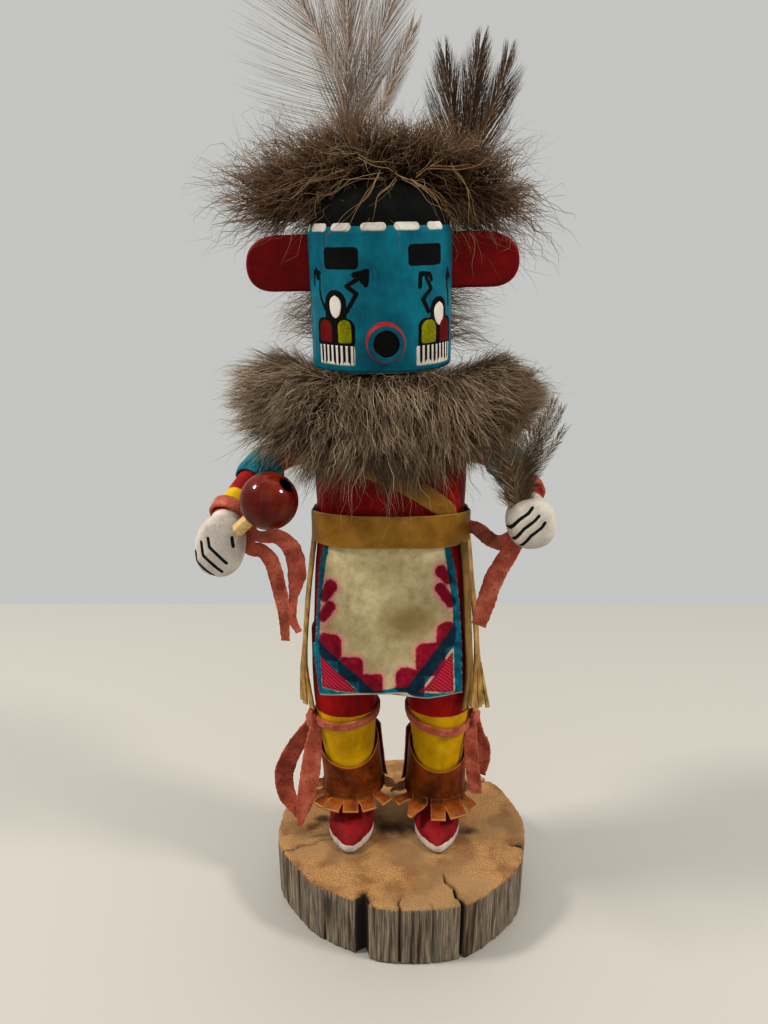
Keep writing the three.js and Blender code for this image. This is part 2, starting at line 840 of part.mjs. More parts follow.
// A wrap of rabbit fur: a thick collar that droops in front, its outside broken into pointed locks.
function ruffGeometry() {
  const around = 3 * RUFF.tufts;
  const ring = new THREE.TorusGeometry(2, 1, 7, around);
  return formed(ring, (p) => {
    const bearing = Math.atan2(p.y, p.x);
    const turn = Math.atan2(p.z, Math.hypot(p.x, p.y) - 2);
    const front = Math.max(0, -Math.sin(bearing));
    const side = Math.abs(Math.cos(bearing));
    const slot = Math.round((bearing / (2 * Math.PI)) * around) + Math.round(turn * 1.6);
    const outer = Math.max(0, Math.cos(turn) + 0.35);
    const lock = (((slot % 3) + 3) % 3 === 0 ? 3 : -0.8) * outer * (0.8 + 0.3 * Math.sin(slot * 1.7));
    const reach = lerp(14.5, RUFF.reach, side) + lock;
    const tall = lerp(14, 13.5, side) + 1.5 * front + lock * 0.4;
    const centreZ = 166.5 - 9 * front - 2.5 * Math.max(0, Math.sin(bearing));
    const droop = 2.4 * Math.max(0, Math.cos(turn));
    return vec(
      (RUFF.halfWidth + reach * Math.cos(turn)) * Math.cos(bearing),
      (RUFF.halfDepth + reach * Math.cos(turn)) * Math.sin(bearing) - 1.5,
      centreZ + tall * Math.sin(turn) - droop,
    );
  });
}

// The down feathers tied round the crown: a tufted mop, lower at the sides.
function crestGeometry() {
  const around = 30;
  const rows = 8;
  const ball = new THREE.SphereGeometry(1, around, rows).rotateX(Math.PI / 2);
  return formed(ball, (p) => {
    const bearing = Math.atan2(p.y, p.x);
    const level = Math.round(Math.asin(THREE.MathUtils.clamp(p.z, -1, 1)) / (Math.PI / rows));
    const slot = Math.round((bearing / (2 * Math.PI)) * around) + level;
    const spread = Math.hypot(p.x, p.y);
    const lock = (((slot % 3) + 3) % 3 === 0 ? 0.11 : -0.03) * spread * (1 + 0.5 * Math.sin(slot * 2.3));
    const size = 1 + lock;
    const x = CREST.halfWidth * p.x * size;
    const droop = 9.5 * Math.pow(Math.abs(x) / CREST.halfWidth, 2.2);
    const tall = p.z > 0 ? CREST.halfHeight * 1.05 : CREST.halfHeight * 0.75;
    return vec(CREST.x + x, CREST.y + CREST.halfDepth * p.y * size, CREST.z + tall * p.z * size - droop);
  });
}

// A soft feather seen flat on: one thin plate whose edge is split into barb tips.
function fanGeometry(root, spans, bend, grow = 0) {
  const outline = new THREE.Shape();
  outline.moveTo(-1.6 - grow, -3 - grow);
  spans.forEach(([degrees, reach], i) => {
    const length = reach + grow;
    const way = degrees * DEG;
    outline.lineTo(length * Math.cos(way), length * Math.sin(way));
    if (i === spans.length - 1) return;
    const next = spans[i + 1];
    const between = ((degrees + next[0]) / 2) * DEG;
    const notch = Math.min(reach, next[1]) * (grow ? 1 : 0.8);
    outline.lineTo(notch * Math.cos(between), notch * Math.sin(between));
  });
  outline.lineTo(1.6 + grow, -3 - grow);
  outline.closePath();
  const plate = new THREE.ExtrudeGeometry(outline, { depth: 1.2 + 2 * grow, bevelEnabled: false });
  plate.translate(0, 0, -0.6 - grow);
  return formed(plate, (p) =>
    vec(root[0] + p.x, root[1] + p.z + bend * (Math.hypot(p.x, p.y) / 10) ** 2, root[2] + p.y),
  );
}

const FAN = {
  root: [-12.6, -1.5, 242],
  bend: 0.22,
  spans: [
    [166, 27],
    [155, 31],
    [143, 34],
    [131, 38],
    [119, 42],
    [108, 47],
    [97, 49],
    [86, 47],
    [75, 42],
    [63, 36],
    [52, 33],
  ],
};
const TUFT = {
  root: [20, 2.5, 236],
  bend: -0.15,
  spans: [
    [118, 25],
    [106, 29],
    [94, 31],
    [82, 33],
    [70, 33],
    [58, 28],
  ],
};
const feather = ({ root, spans, bend }, grow) => fanGeometry(root, spans, bend, grow);

// A small feather of the bunch in the left hand.
function plume(tip, width) {
  const root = vec(35.2, -30.4, 138.6);
  const end = vec(...tip);
  const bulge = root.clone().lerp(end, 0.5).add(vec(0, 1.2, 0.6));
  const curve = new THREE.CatmullRomCurve3([root, bulge, end]);
  const breadth = (t) => 1 + width * Math.sin(Math.PI * Math.min(1, 0.12 + t * 0.86));
  return strip(curve, 3, breadth, 1, () => vec(0.1, -1, 0.1));
}

function bunchGeometry() {
  const stems = rod(vec(35.6, -30, 135), vec(35, -30.4, 141), 1.5, 6);
  const plumes = [
    plume([27, -35, 153.4], 4.6),
    plume([31.6, -36.4, 158.6], 5),
    plume([37.4, -35, 158], 4.6),
    plume([43, -33.4, 165], 3.4),
    plume([46.6, -32, 155], 2.4),
  ];
  return joined(stems, ...plumes);
}

// ---- Assembly ----

const doll = new THREE.Group();
doll.position.x = AXIS_X;
const root = new THREE.Group();
root.add(doll);

function add(parent, name, geometry, material) {
  const mesh = new THREE.Mesh(geometry, material);
  mesh.name = name;
  parent.add(mesh);
}

const suede = paint("#b5483c", 0.95);
const turquoise = paint("#12899b", 0.95);
const tan = paint("#a0762f", 0.55);
const bootLeather = paint("#8a4a14", 0.6);
const red = paint("#9c1216", 0.6);
const white = paint("#d2cbc2", 0.75);

const SIDES = ["right", "left"];
const helmetRoom = onHead(helmetGeometry(14, 4 * GAP));
const body = joined(
  torsoGeometry(BODY_SIDES),
  legGeometry("right"),
  legGeometry("left"),
  moccasinGeometry("right"),
  moccasinGeometry("left"),
);
const stick = rod(stickStart, stickEnd, DOWEL_RADIUS, 8);
const stickHole = rod(stickStart.clone().addScaledVector(stickWay, -GAP), stickEnd, DOWEL_RADIUS + 0.4, 8);
const featherHole = rod(vec(35.65, -30, 134), vec(35, -30.4, 142), 2, 8);
const arms = {
  right: armGeometry("right", stickHole),
  left: armGeometry("left", featherHole),
};
const armRoom = (side) =>
  bar(ARM_CURVES[side], 7, 6, (t) => armRadius(t) + (t > 0.2 ? LEATHER + 4 * GAP : 4 * GAP));
const ruff = cut(
  ruffGeometry(),
  torsoGeometry(12, 5 * GAP),
  helmetRoom,
  armRoom("right"),
  armRoom("left"),
  bandolierGeometry(2 * GAP),
);
const earRooms = SIDES.map((side) => onHead(earGeometry(side, GAP)));
const crest = cut(crestGeometry(), helmetRoom, ...earRooms, feather(FAN, GAP), feather(TUFT, GAP));

add(root, "base", sliceGeometry(), paint("#a98556", 0.9));
add(doll, "body", body, red);
add(doll, "head", onHead(helmetGeometry(32)), paint("#0e7f93", 0.45));
add(doll, "snout", onHead(snoutGeometry()), paint("#0e7f93", 0.45));
for (const side of SIDES) {
  add(doll, "ear_" + side, onHead(earGeometry(side)), red);
  add(doll, "arm_" + side, arms[side], white);
  add(doll, "armband_" + side, armbandGeometry(side), turquoise);
  add(doll, "wrist_tie_" + side, wristTieGeometry(side), suede);
  add(doll, "garter_" + side, garterGeometry(side), suede);
  add(doll, "boot_" + side, bootGeometry(side), bootLeather);
}
add(doll, "belt", beltGeometry(), tan);
add(doll, "bandolier", bandolierGeometry(), tan);
add(doll, "apron", apronGeometry(), paint("#cfc49f", 0.85));
for (const [name, sash] of Object.entries(SASHES)) add(doll, name, sashGeometry(sash), tan);
add(doll, "rattle_bead", beadGeometry(), paint("#7a2410", 0.15));
add(doll, "rattle_stick", stick, paint("#d8b77a", 0.7));
add(doll, "hand_feathers", bunchGeometry(), paint("#6d5f50", 0.9));
add(doll, "fur_ruff", ruff, paint("#8f8070", 1));
add(doll, "crest_down", crest, paint("#5a4636", 1));
add(doll, "crest_fan_feather", feather(FAN), paint("#8a7a6c", 0.9));
add(doll, "crest_tuft_feather", feather(TUFT), paint("#5a4636", 0.9));

export default root;
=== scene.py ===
"""A carved, painted and dressed kachina doll on a slice of branch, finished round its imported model.

The doll faces -Y. "right" and "left" are its own, so its right hand is on the -X side.
Sizes are millimetres in the doll's own frame, whose upright axis stands 4 mm left of the slice's middle.
"""
import math

import bmesh
import bpy
import numpy as np
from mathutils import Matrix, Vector, noise


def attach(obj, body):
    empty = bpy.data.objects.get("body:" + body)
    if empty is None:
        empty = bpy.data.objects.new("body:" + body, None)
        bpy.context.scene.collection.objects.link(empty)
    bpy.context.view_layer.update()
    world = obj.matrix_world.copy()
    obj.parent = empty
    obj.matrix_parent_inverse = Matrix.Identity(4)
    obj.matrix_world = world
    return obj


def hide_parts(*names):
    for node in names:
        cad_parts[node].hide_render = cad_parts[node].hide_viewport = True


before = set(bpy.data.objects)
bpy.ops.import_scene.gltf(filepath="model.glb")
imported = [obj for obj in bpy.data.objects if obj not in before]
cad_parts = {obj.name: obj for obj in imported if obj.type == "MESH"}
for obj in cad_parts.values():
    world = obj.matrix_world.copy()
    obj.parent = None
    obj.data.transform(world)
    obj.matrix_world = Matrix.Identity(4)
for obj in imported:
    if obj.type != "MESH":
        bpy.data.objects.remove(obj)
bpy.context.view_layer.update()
scene = bpy.context.scene

# ---- Camera, floor and light ----
# A wide lens held close, a little above the doll's middle and looking down on it.
# The doll stands on a plain white table top under two ceiling lamps and soft light from the room.
MM = 0.001


def linear(code, alpha=1.0):
    """An sRGB hex colour as the linear values that shaders and lamps take."""
    values = [int(code[i : i + 2], 16) / 255 for i in (1, 3, 5)]
    return (*[v / 12.92 if v <= 0.04045 else ((v + 0.055) / 1.055) ** 2.4 for v in values], alpha)


def add(tree, kind, inputs=None, **settings):
    """Adds a node. inputs maps a socket's name or number to a value, or to the socket that feeds it."""
    made = tree.nodes.new(kind)
    for name, value in settings.items():
        setattr(made, name, value)
    for key, value in (inputs or {}).items():
        if isinstance(value, bpy.types.NodeSocket):
            tree.links.new(value, made.inputs[key])
        else:
            made.inputs[key].default_value = value
    return made


def finish_named(name):
    """A new material with its Principled shader. Returns the material, its tree and the shader."""
    material = bpy.data.materials.new(name)
    material.use_nodes = True
    tree = material.node_tree
    return material, tree, tree.nodes["Principled BSDF"]


lens = bpy.data.cameras.new("camera")
lens.lens = 26.0
lens.clip_start = 0.01
camera = bpy.data.objects.new("camera", lens)
camera.location = Vector((-6.2, -235, 175.5)) * MM
camera.rotation_euler = (math.radians(90 - 11), 0, 0)
scene.collection.objects.link(camera)
scene.camera = camera

# White laminate: smooth and dull, with only a broad soft sheen.
laminate, tree, shader = finish_named("white_laminate")
shader.inputs["Base Color"].default_value = linear("#adaba6")
shader.inputs["Roughness"].default_value = 0.55
floor_mesh = bpy.data.meshes.new("floor")
FLOOR_HALF = 2.4  # metres
TABLE_BACK = 0.302  # metres behind the doll
corners = [(-FLOOR_HALF, -FLOOR_HALF, 0), (FLOOR_HALF, -FLOOR_HALF, 0), (FLOOR_HALF, TABLE_BACK, 0)]
floor_mesh.from_pydata([*corners, (-FLOOR_HALF, TABLE_BACK, 0)], [], [(0, 1, 2, 3)])
floor_mesh.materials.append(laminate)
floor = bpy.data.objects.new("floor", floor_mesh)
scene.collection.objects.link(floor)

LAMPS = {  # direction from the doll, distance and size in metres, power in watts
    "lamp_left": ((-0.7, -0.12, 0.7), 0.95, 0.16, 6.4), "lamp_right": ((0.73, -0.3, 0.63), 0.95, 0.16, 4.8),
    "room_front": ((-0.1, -0.85, 0.55), 1.5, 1.3, 2.4), "room_top": ((0.1, 0.25, 1.0), 1.3, 1.2, 4.5),
}
TARGET = Vector((0, 0, 0.14))
for name, (way, distance, size, power) in LAMPS.items():
    lamp = bpy.data.lights.new(name, "AREA")
    lamp.size = size
    lamp.energy = power
    lamp.color = linear("#fff8ee")[:3]
    holder = bpy.data.objects.new(name, lamp)
    holder.location = TARGET + Vector(way).normalized() * distance
    holder.rotation_euler = (TARGET - holder.location).to_track_quat("-Z", "Y").to_euler()
    scene.collection.objects.link(holder)

world = bpy.data.worlds.new("room")
world.use_nodes = True
world.node_tree.nodes["Background"].inputs["Color"].default_value = linear("#ecedea")
world.node_tree.nodes["Background"].inputs["Strength"].default_value = 0.58
scene.world = world
scene.view_settings.view_transform = "Standard"
scene.view_settings.look = "Medium High Contrast"

# ---- The slice of branch ----
# A sawn slice of dry branch without its bark: tan end grain on top, grey weathered sides.
# Drying has opened cracks from the rim towards the heart.
AXIS_X = -4.0
SLICE_RADIUS, SLICE_HEIGHT = 42.7, 19.5


def shape(name, points, faces, material, off_axis=AXIS_X):
    """An object from points in mm of the doll's frame, as an array, and faces as lists of point numbers."""
    mesh = bpy.data.meshes.new(name)
    placed = (np.asarray(points, float) + (off_axis, 0, 0)) * MM
    mesh.from_pydata(placed.tolist(), [], faces if isinstance(faces, list) else faces.tolist())
    mesh.materials.append(material)
    mesh.shade_smooth()
    made = bpy.data.objects.new(name, mesh)
    scene.collection.objects.link(made)
    return made


def grid_faces(rows, columns):
    """Quads of a tube of rows x columns points, whose columns close on themselves."""
    row, column = np.meshgrid(np.arange(rows - 1), np.arange(columns), indexing="ij")
    after = (column + 1) % columns
    corners = [row * columns + column, row * columns + after, (row + 1) * columns + after]
    return np.stack([*corners, (row + 1) * columns + column], -1).reshape(-1, 4)


def facing_out(points, faces):
    """The faces, each a list of point numbers, turned round where the closed form is inside out."""
    corners = np.array([[face[0], face[1], face[2], face[-1]] for face in faces])
    a, b, c, d = (points[corners[:, i]] for i in range(4))
    volume = np.sum(a * (np.cross(b, c) + np.cross(c, d)))
    return faces if volume > 0 else [face[::-1] for face in faces]


def closed_form(grid, hoop=False):
    """Points and faces of a tube of rings, grid being rows x columns x 3: with ends capped, or as a hoop."""
    rows, columns = grid.shape[:2]
    if hoop:
        looped = (np.arange(rows * columns).reshape(rows, columns)).tolist()
        faces = [
            [
                looped[i][j], looped[i][(j + 1) % columns], looped[(i + 1) % rows][(j + 1) % columns],
                looped[(i + 1) % rows][j],
            ] for i in range(rows) for j in range(columns)
        ]
        return grid.reshape(-1, 3), faces
    points = np.concatenate([grid.reshape(-1, 3), grid[:1].mean(1), grid[-1:].mean(1)])
    faces = grid_faces(rows, columns).tolist()
    low, high = rows * columns, rows * columns + 1
    last = (rows - 1) * columns
    for i in range(columns):
        j = (i + 1) % columns
        faces += [[low, j, i], [high, last + i, last + j]]
    return points, faces


def tubes(name, grids, material, off_axis=AXIS_X, hoop=False):
    """One object from several closed tubes or hoops."""
    points, faces, count = [], [], 0
    for grid in grids:
        more, rings = closed_form(np.asarray(grid, float), hoop)
        small = more - more.mean(0)
        points.append(more)
        faces += [[corner + count for corner in face] for face in facing_out(small, rings)]
        count += len(more)
    return shape(name, np.concatenate(points), faces, material, off_axis)


def grain(points, size, seed=0.0):
    """Smooth noise from -1 to 1 at each point. size is the length of its waves in mm, per axis if a list."""
    scaled = np.asarray(points, float) / np.asarray(size, float) + seed
    flat = scaled.reshape(-1, 3)
    values = [noise.noise(Vector(p)) for p in flat.tolist()]
    return np.array(values).reshape(scaled.shape[:-1])


def mark(made, name, values):
    """Stores a number on each point, for the finish to read."""
    layer = made.data.attributes.new(name, "FLOAT", "POINT")
    layer.data.foreach_set("value", np.asarray(values, np.float32).ravel())


def keep(made, slot, *nodes):
    """The piece stands for these nodes of the model, whose own meshes it hides. slot is not used."""
    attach(made, "root")
    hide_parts(*nodes)


# Cracks: bearing in degrees, depth at the rim, half width at the rim, reach across the top.
CRACKS = [
    (-157, 2.2, 0.5, 24), (-137, 0.7, 0.3, 3), (-126, 0.8, 0.3, 3), (-108, 3.6, 2.4, 6),
    (-92, 1.5, 0.35, 5), (-79, 0.9, 0.25, 2), (-67, 3.2, 0.5, 12), (-48, 0.8, 0.3, 2), (-20, 3.0, 1.3, 5),
    (38, 2.4, 0.6, 16), (112, 2.8, 0.7, 20), (170, 1.4, 0.4, 9),
]


def rim_radius(bearing):
    lobes = 1.3 * np.cos(bearing + math.radians(60)) + 0.9 * np.cos(3 * (bearing - math.radians(178)))
    return SLICE_RADIUS + lobes + 0.35 * np.cos(11 * bearing)


def crack_depth(bearing, radius, along):
    """How deep the cracks cut at a place of the rim, or of the top when along is 1."""
    depth = np.zeros_like(bearing)
    for degrees, deep, half, reach in CRACKS:
        turn = (bearing - math.radians(degrees) + math.pi) % (2 * math.pi) - math.pi
        inward = np.clip(1 - (SLICE_RADIUS - radius) / reach, 0, 1) if along else 1.0
        wander = 0.5 * np.sin(radius * 0.9 + degrees) * along * (inward < 1)
        aside = np.abs(turn * radius + wander)
        width = half * (0.45 + 0.55 * inward) + 0.25
        depth = np.maximum(depth, deep * inward**0.5 * np.clip(1 - aside / width, 0, 1) ** 0.8)
    return depth


SLICE_COLUMNS = 600
bearings = np.linspace(-math.pi, math.pi, SLICE_COLUMNS, endpoint=False)
side = []
for height in np.concatenate([[0, 0.15, 0.5], np.linspace(1.1, SLICE_HEIGHT - 0.9, 24)]):
    around = np.stack([np.cos(bearings) * 43, np.sin(bearings) * 43, np.full_like(bearings, height)], -1)
    fibres = 0.28 * grain(around, (1.1, 1.1, 26)) + 0.42 * grain(around, (3.4, 3.4, 60), 7.0)
    groove = -0.5 * np.clip(grain(around, (1.6, 1.6, 45), 3.0) - 0.25, 0, 1)
    worn = 0.4 * max(0.0, 1 - height / 0.5) + 0.05 * (SLICE_HEIGHT - height) * 0.8
    radius = rim_radius(bearings) - worn * 0.8 + fibres + groove
    radius = radius - crack_depth(bearings, np.full_like(bearings, SLICE_RADIUS), 0)
    side.append(np.stack([radius * np.cos(bearings), radius * np.sin(bearings), around[:, 2]], -1))
rim = np.hypot(side[-1][:, 0], side[-1][:, 1])
top = []
for share in np.concatenate([[0.994, 0.985, 0.972], np.linspace(0.96, 0.04, 60)]):
    radius = rim * share
    edge = np.clip((1 - share) / 0.016, 0, 1)
    place = np.stack([radius * np.cos(bearings), radius * np.sin(bearings), np.zeros_like(radius)], -1)
    saw = 0.05 * grain(place, 0.9) + 0.12 * grain(place, 9, 5.0)
    drop = crack_depth(bearings, radius, 1) * np.clip((1 - share) / 0.01, 0, 1)
    place[:, 2] = SLICE_HEIGHT - 0.9 * (1 - edge) ** 2 + (saw - 0.15) * edge - np.minimum(drop * 1.2, 3.4)
    top.append(place)


# Dry weathered wood: dull, grey where light and rain have reached it, tan where the saw has cut it.
branch, tree, shader = finish_named("sawn_dry_branch")
where = add(tree, "ShaderNodeTexCoord").outputs["Object"]


def noise_at(tree, where, size, stretch=(1, 1, 1), detail=3.0, rough=0.55, shift=0.0):
    """Noise whose waves are size mm long, stretched by the given factors along X, Y and Z."""
    scale = tuple(1 / (size * MM * s) for s in stretch)
    placed = add(tree, "ShaderNodeMapping", {"Vector": where, "Scale": scale, "Location": (shift,) * 3})
    settings = {"Vector": placed.outputs[0], "Scale": 1.0, "Detail": detail, "Roughness": rough}
    return add(tree, "ShaderNodeTexNoise", settings).outputs["Fac"]


def ramp(tree, value, *stops):
    """Colours or shares along a value: each stop is (place, colour)."""
    made = add(tree, "ShaderNodeValToRGB", {0: value})
    band = made.color_ramp
    while len(band.elements) < len(stops):
        band.elements.new(1.0)
    for element, (place, colour) in zip(band.elements, stops):
        element.position = place
        element.color = linear(colour) if isinstance(colour, str) else (colour, colour, colour, 1)
    return made.outputs["Color"]


def mixed(tree, share, below, above, blend="MIX"):
    """One colour over another. share, below and above are sockets or values."""
    inputs = {0: share, 6: below, 7: above}
    for key, value in inputs.items():
        if isinstance(value, str):
            inputs[key] = linear(value)
    return add(tree, "ShaderNodeMix", inputs, data_type="RGBA", blend_type=blend).outputs[2]


def stored(tree, name):
    return add(tree, "ShaderNodeAttribute", attribute_name=name).outputs["Fac"]


def sums(tree, operation, a, b=0.0, c=0.0, clamp=False):
    made = add(tree, "ShaderNodeMath", {0: a, 1: b, 2: c}, operation=operation, use_clamp=clamp)
    return made.outputs[0]


def step_up(tree, value, low, high):
    """0 below low, 1 above high, and smooth between."""
    settings = {"Value": value, "From Min": low, "From Max": high}
    made = add(tree, "ShaderNodeMapRange", settings, interpolation_type="SMOOTHSTEP", clamp=True)
    return made.outputs["Result"]


def raised(tree, height, strength, distance, under=None):
    """A bump of the given height in mm, over another bump if there is one."""
    settings = {"Height": height, "Strength": strength, "Distance": distance * MM}
    if under is not None:
        settings["Normal"] = under
    return add(tree, "ShaderNodeBump", settings).outputs["Normal"]


fine = noise_at(tree, where, 0.45, detail=4.0, rough=0.7)
broad = noise_at(tree, where, 11, detail=2.0)
cells = add(tree, "ShaderNodeTexVoronoi", {"Vector": where, "Scale": 1 / (0.55 * MM)}).outputs["Distance"]
grit = ramp(tree, fine, (0.33, "#73502f"), (0.47, "#9c764a"), (0.6, "#b8905e"), (0.75, "#cfae7a"))
cut = mixed(tree, step_up(tree, broad, 0.42, 0.62), grit, "#9a7448", "MULTIPLY")
cut = mixed(tree, 0.55, grit, cut)
smoke = step_up(tree, noise_at(tree, where, 24, shift=3.1), 0.46, 0.6)
cut = mixed(tree, sums(tree, "MULTIPLY", smoke, 0.5), cut, "#8d7350")
pores = step_up(tree, cells, 0.32, 0.12)
cut = mixed(tree, sums(tree, "MULTIPLY", pores, 0.45), cut, "#6d4d2f")
fibre = noise_at(tree, where, 0.55, (1, 1, 34), 4.0, 0.7)
bands = noise_at(tree, where, 2.6, (1, 1, 26), 3.0, 0.6, 2.0)
weathered = ramp(tree, fibre, (0.28, "#2c241c"), (0.42, "#5d5142"), (0.55, "#857766"), (0.72, "#aea290"))
weathered = mixed(tree, step_up(tree, bands, 0.5, 0.68), weathered, "#8a6a48", "MULTIPLY")
weathered = mixed(tree, step_up(tree, bands, 0.44, 0.3), weathered, "#6b655c")
colour = mixed(tree, step_up(tree, stored(tree, "sawn"), 0.35, 0.65), weathered, cut)
# Painted shade: the cracks darken to near-black the deeper they cut.
colour = mixed(tree, step_up(tree, stored(tree, "crack"), 0.25, 1.6), colour, "#1b130c")
colour = mixed(tree, stored(tree, "stain"), colour, "#2e2a26")
# Glue stains, dark partly as painted shade beside the moccasins.
colour = mixed(tree, stored(tree, "glue_and_shade"), colour, "#3a1c10")
tree.links.new(colour, shader.inputs["Base Color"])
shader.inputs["Roughness"].default_value = 0.88
relief = raised(tree, fine, 0.9, 0.22)
tree.links.new(raised(tree, fibre, 0.9, 0.35, relief), shader.inputs["Normal"])

grid = np.array(side + top)
slice_piece = tubes("branch_slice", [grid], branch, off_axis=0.0)
flat = np.concatenate([grid.reshape(-1, 3), [[0, 0, 0], [0, 0, SLICE_HEIGHT]]])
turn = np.arctan2(flat[:, 1], flat[:, 0])
reach = np.hypot(flat[:, 0], flat[:, 1])
on_top = np.concatenate(
    [np.repeat([0.0, 1.0], [len(side) * SLICE_COLUMNS, len(top) * SLICE_COLUMNS]), [0, 1]]
)
on_top[(len(side) - 1) * SLICE_COLUMNS : len(side) * SLICE_COLUMNS] = 0.4
mark(slice_piece, "sawn", on_top)
# The crack depths also set the painted shade in the cracks.
mark(slice_piece, "crack", np.where(on_top > 0.5, crack_depth(turn, reach, 1), crack_depth(turn, reach, 0)))
# A dark knot in the side, left of the wide split, that has bled down the fibres.
KNOT = (-123, 14.5)  # bearing in degrees, height
aside = (np.degrees(turn) - KNOT[0]) * SLICE_RADIUS * math.pi / 180
down = flat[:, 2] - KNOT[1]
spread = np.hypot(aside / 2.2, np.where(down < 0, down / 8, down / 3))
knot = np.clip(1.25 - spread + 0.9 * grain(flat, (0.9, 0.9, 9), 4.0), 0, 1) * (on_top < 0.5)
mark(slice_piece, "stain", 0.85 * knot)
# Glue that has run out from under the moccasins, painted dark partly as the shade beside the feet: place
# across and along the slice, and radius.
GLUE_AND_SHADE = [(-3.4, -4.6, 4.4), (22.6, -6.4, 2.6), (-27.5, 1.0, 2.6)]
glue_and_shade_amount = np.zeros(len(flat))
for x, y, size in GLUE_AND_SHADE:
    away = np.hypot(flat[:, 0] - x, (flat[:, 1] - y) * 1.5) / size
    glue_and_shade_amount = np.maximum(glue_and_shade_amount, np.clip(1.5 - away + 0.5 * grain(flat, 2.2, x), 0, 1))
mark(slice_piece, "glue_and_shade", 0.9 * glue_and_shade_amount * on_top)
keep(slice_piece, "branch_wood", "base")

# ---- The carved body ----
# Torso, neck, legs and moccasins are carved in one from dry root wood, sanded, and painted by hand.
# The paint is thin and matt: red on the body, yellow below the knee, red moccasins with white soles.
TORSO = [  # height, half width, half depth
    (80, 21, 13), (83, 25, 15.6), (98, 25.2, 16.4), (112, 24.6, 16.6), (122, 23.7, 16.4), (132, 23.7, 16.3),
    (145, 24, 16), (151, 22.5, 14.5), (155.5, 17.5, 12), (158, 11, 9.8), (160, 9.2, 9), (175, 9, 9),
]
SQUARENESS = 2.3  # the torso's section is an oval, a little squarer than an ellipse
LEG = [(19.8, 7.2), (22, 7.4), (40, 8.1), (50, 8.9), (58, 9.8), (68, 10.6), (92, 10.8)]  # height, radius
LEGS = {"right": (-15.6, -13.5, -13.4), "left": (16.3, 16.5, 15.4)}  # hip, ankle and toe along X
MOCCASIN = [  # place along Y, half width, height
    (9.2, 4.6, 6), (7.4, 6.8, 8.6), (0, 7.3, 10), (-7, 7.6, 9), (-12.5, 6, 6.8), (-16.8, 3.4, 5),
    (-19.2, 1.2, 3.8),
]


def through(points, count):
    """A smooth curve through points, as count points spaced evenly along it."""
    p = np.asarray(points, float)
    p = np.concatenate([2 * p[:1] - p[1:2], p, 2 * p[-1:] - p[-2:-1]])
    fine = []
    for a, b, c, d in zip(p, p[1:], p[2:], p[3:]):
        t = np.linspace(0, 1, 24, endpoint=False)[:, None]
        bend = (2 * a - 5 * b + 4 * c - d) * t**2 + (3 * b - a - 3 * c + d) * t**3
        fine.append(0.5 * (2 * b + (c - a) * t + bend))
    fine = np.concatenate([*fine, p[-2:-1]])
    length = np.concatenate([[0], np.cumsum(np.linalg.norm(np.diff(fine, axis=0), axis=1))])
    at = np.linspace(0, length[-1], count)
    return np.stack([np.interp(at, length, fine[:, k]) for k in range(p.shape[1])], -1)


def plain(made):
    """Makes the object's evaluated shape its own mesh, and takes its modifiers off."""
    bpy.context.view_layer.update()
    seen = made.evaluated_get(bpy.context.evaluated_depsgraph_get())
    mesh = bpy.data.meshes.new_from_object(seen)
    made.modifiers.clear()
    made.data = mesh
    mesh.shade_smooth()
    return made


def fused(made, cell, rounds):
    """Joins a piece's overlapping tubes into one skin with cells of the given size, and softens it."""
    fuse = made.modifiers.new("fuse", "REMESH")
    fuse.mode = "VOXEL"
    fuse.voxel_size = cell * MM
    fuse.use_smooth_shade = True
    soften = made.modifiers.new("soften", "SMOOTH")
    soften.iterations = rounds
    return plain(made)


def points_of(made, off_axis=AXIS_X):
    """A mesh's points in mm of the doll's frame."""
    flat = np.empty(len(made.data.vertices) * 3)
    made.data.vertices.foreach_get("co", flat)
    return flat.reshape(-1, 3) / MM - (off_axis, 0, 0)


def push(made, distances):
    """Moves each point along its normal by a distance in mm."""
    normals = np.empty(len(made.data.vertices) * 3)
    made.data.vertices.foreach_get("normal", normals)
    moved = points_of(made, 0.0) * MM + normals.reshape(-1, 3) * np.asarray(distances)[:, None] * MM
    made.data.vertices.foreach_set("co", moved.ravel())
    made.data.update()
    return made


def oval(turn, half_width, half_depth):
    """The torso's outline: points at the given bearings."""
    squarer = (np.abs(np.cos(turn)) ** SQUARENESS + np.abs(np.sin(turn)) ** SQUARENESS) ** (-1 / SQUARENESS)
    return half_width * squarer * np.cos(turn), half_depth * squarer * np.sin(turn)


def leg_centre(side, height):
    hip, ankle, _ = LEGS[side]
    share = np.clip((np.asarray(height, float) - 30) / 50, 0, 1)
    return ankle + (hip - ankle) * share * share * (3 - 2 * share)


def circle(count):
    return np.linspace(0, 2 * math.pi, count, endpoint=False)


around = circle(96)
forms = []
rings = []
for height, half_width, half_depth in through(TORSO, 90):
    x, y = oval(around, half_width, half_depth)
    lean = np.clip((height - 158) / 18, 0, 1)
    rings.append(np.stack([x - 1.35 * lean, y - 3 * lean, np.full(96, height)], -1))
forms.append(np.array(rings))
for side, (hip, ankle, toe) in LEGS.items():
    rings = []
    for height, radius in through(LEG, 60):
        x = leg_centre(side, height) + radius * np.cos(around)
        rings.append(np.stack([x, radius * np.sin(around), np.full(96, height)], -1))
    forms.append(np.array(rings))
    rings = []
    for place, (y, half_width, tall) in enumerate(through(MOCCASIN, 40)):
        rise = np.maximum(0, np.sin(around)) ** 0.75
        drift = ankle + (toe - ankle) * place / 39
        x = drift + half_width * np.cos(around) * (1 + 0.05 * rise)
        rings.append(np.stack([x, np.full(96, y), SLICE_HEIGHT + 0.05 + tall * rise], -1))
    forms.append(np.array(rings))

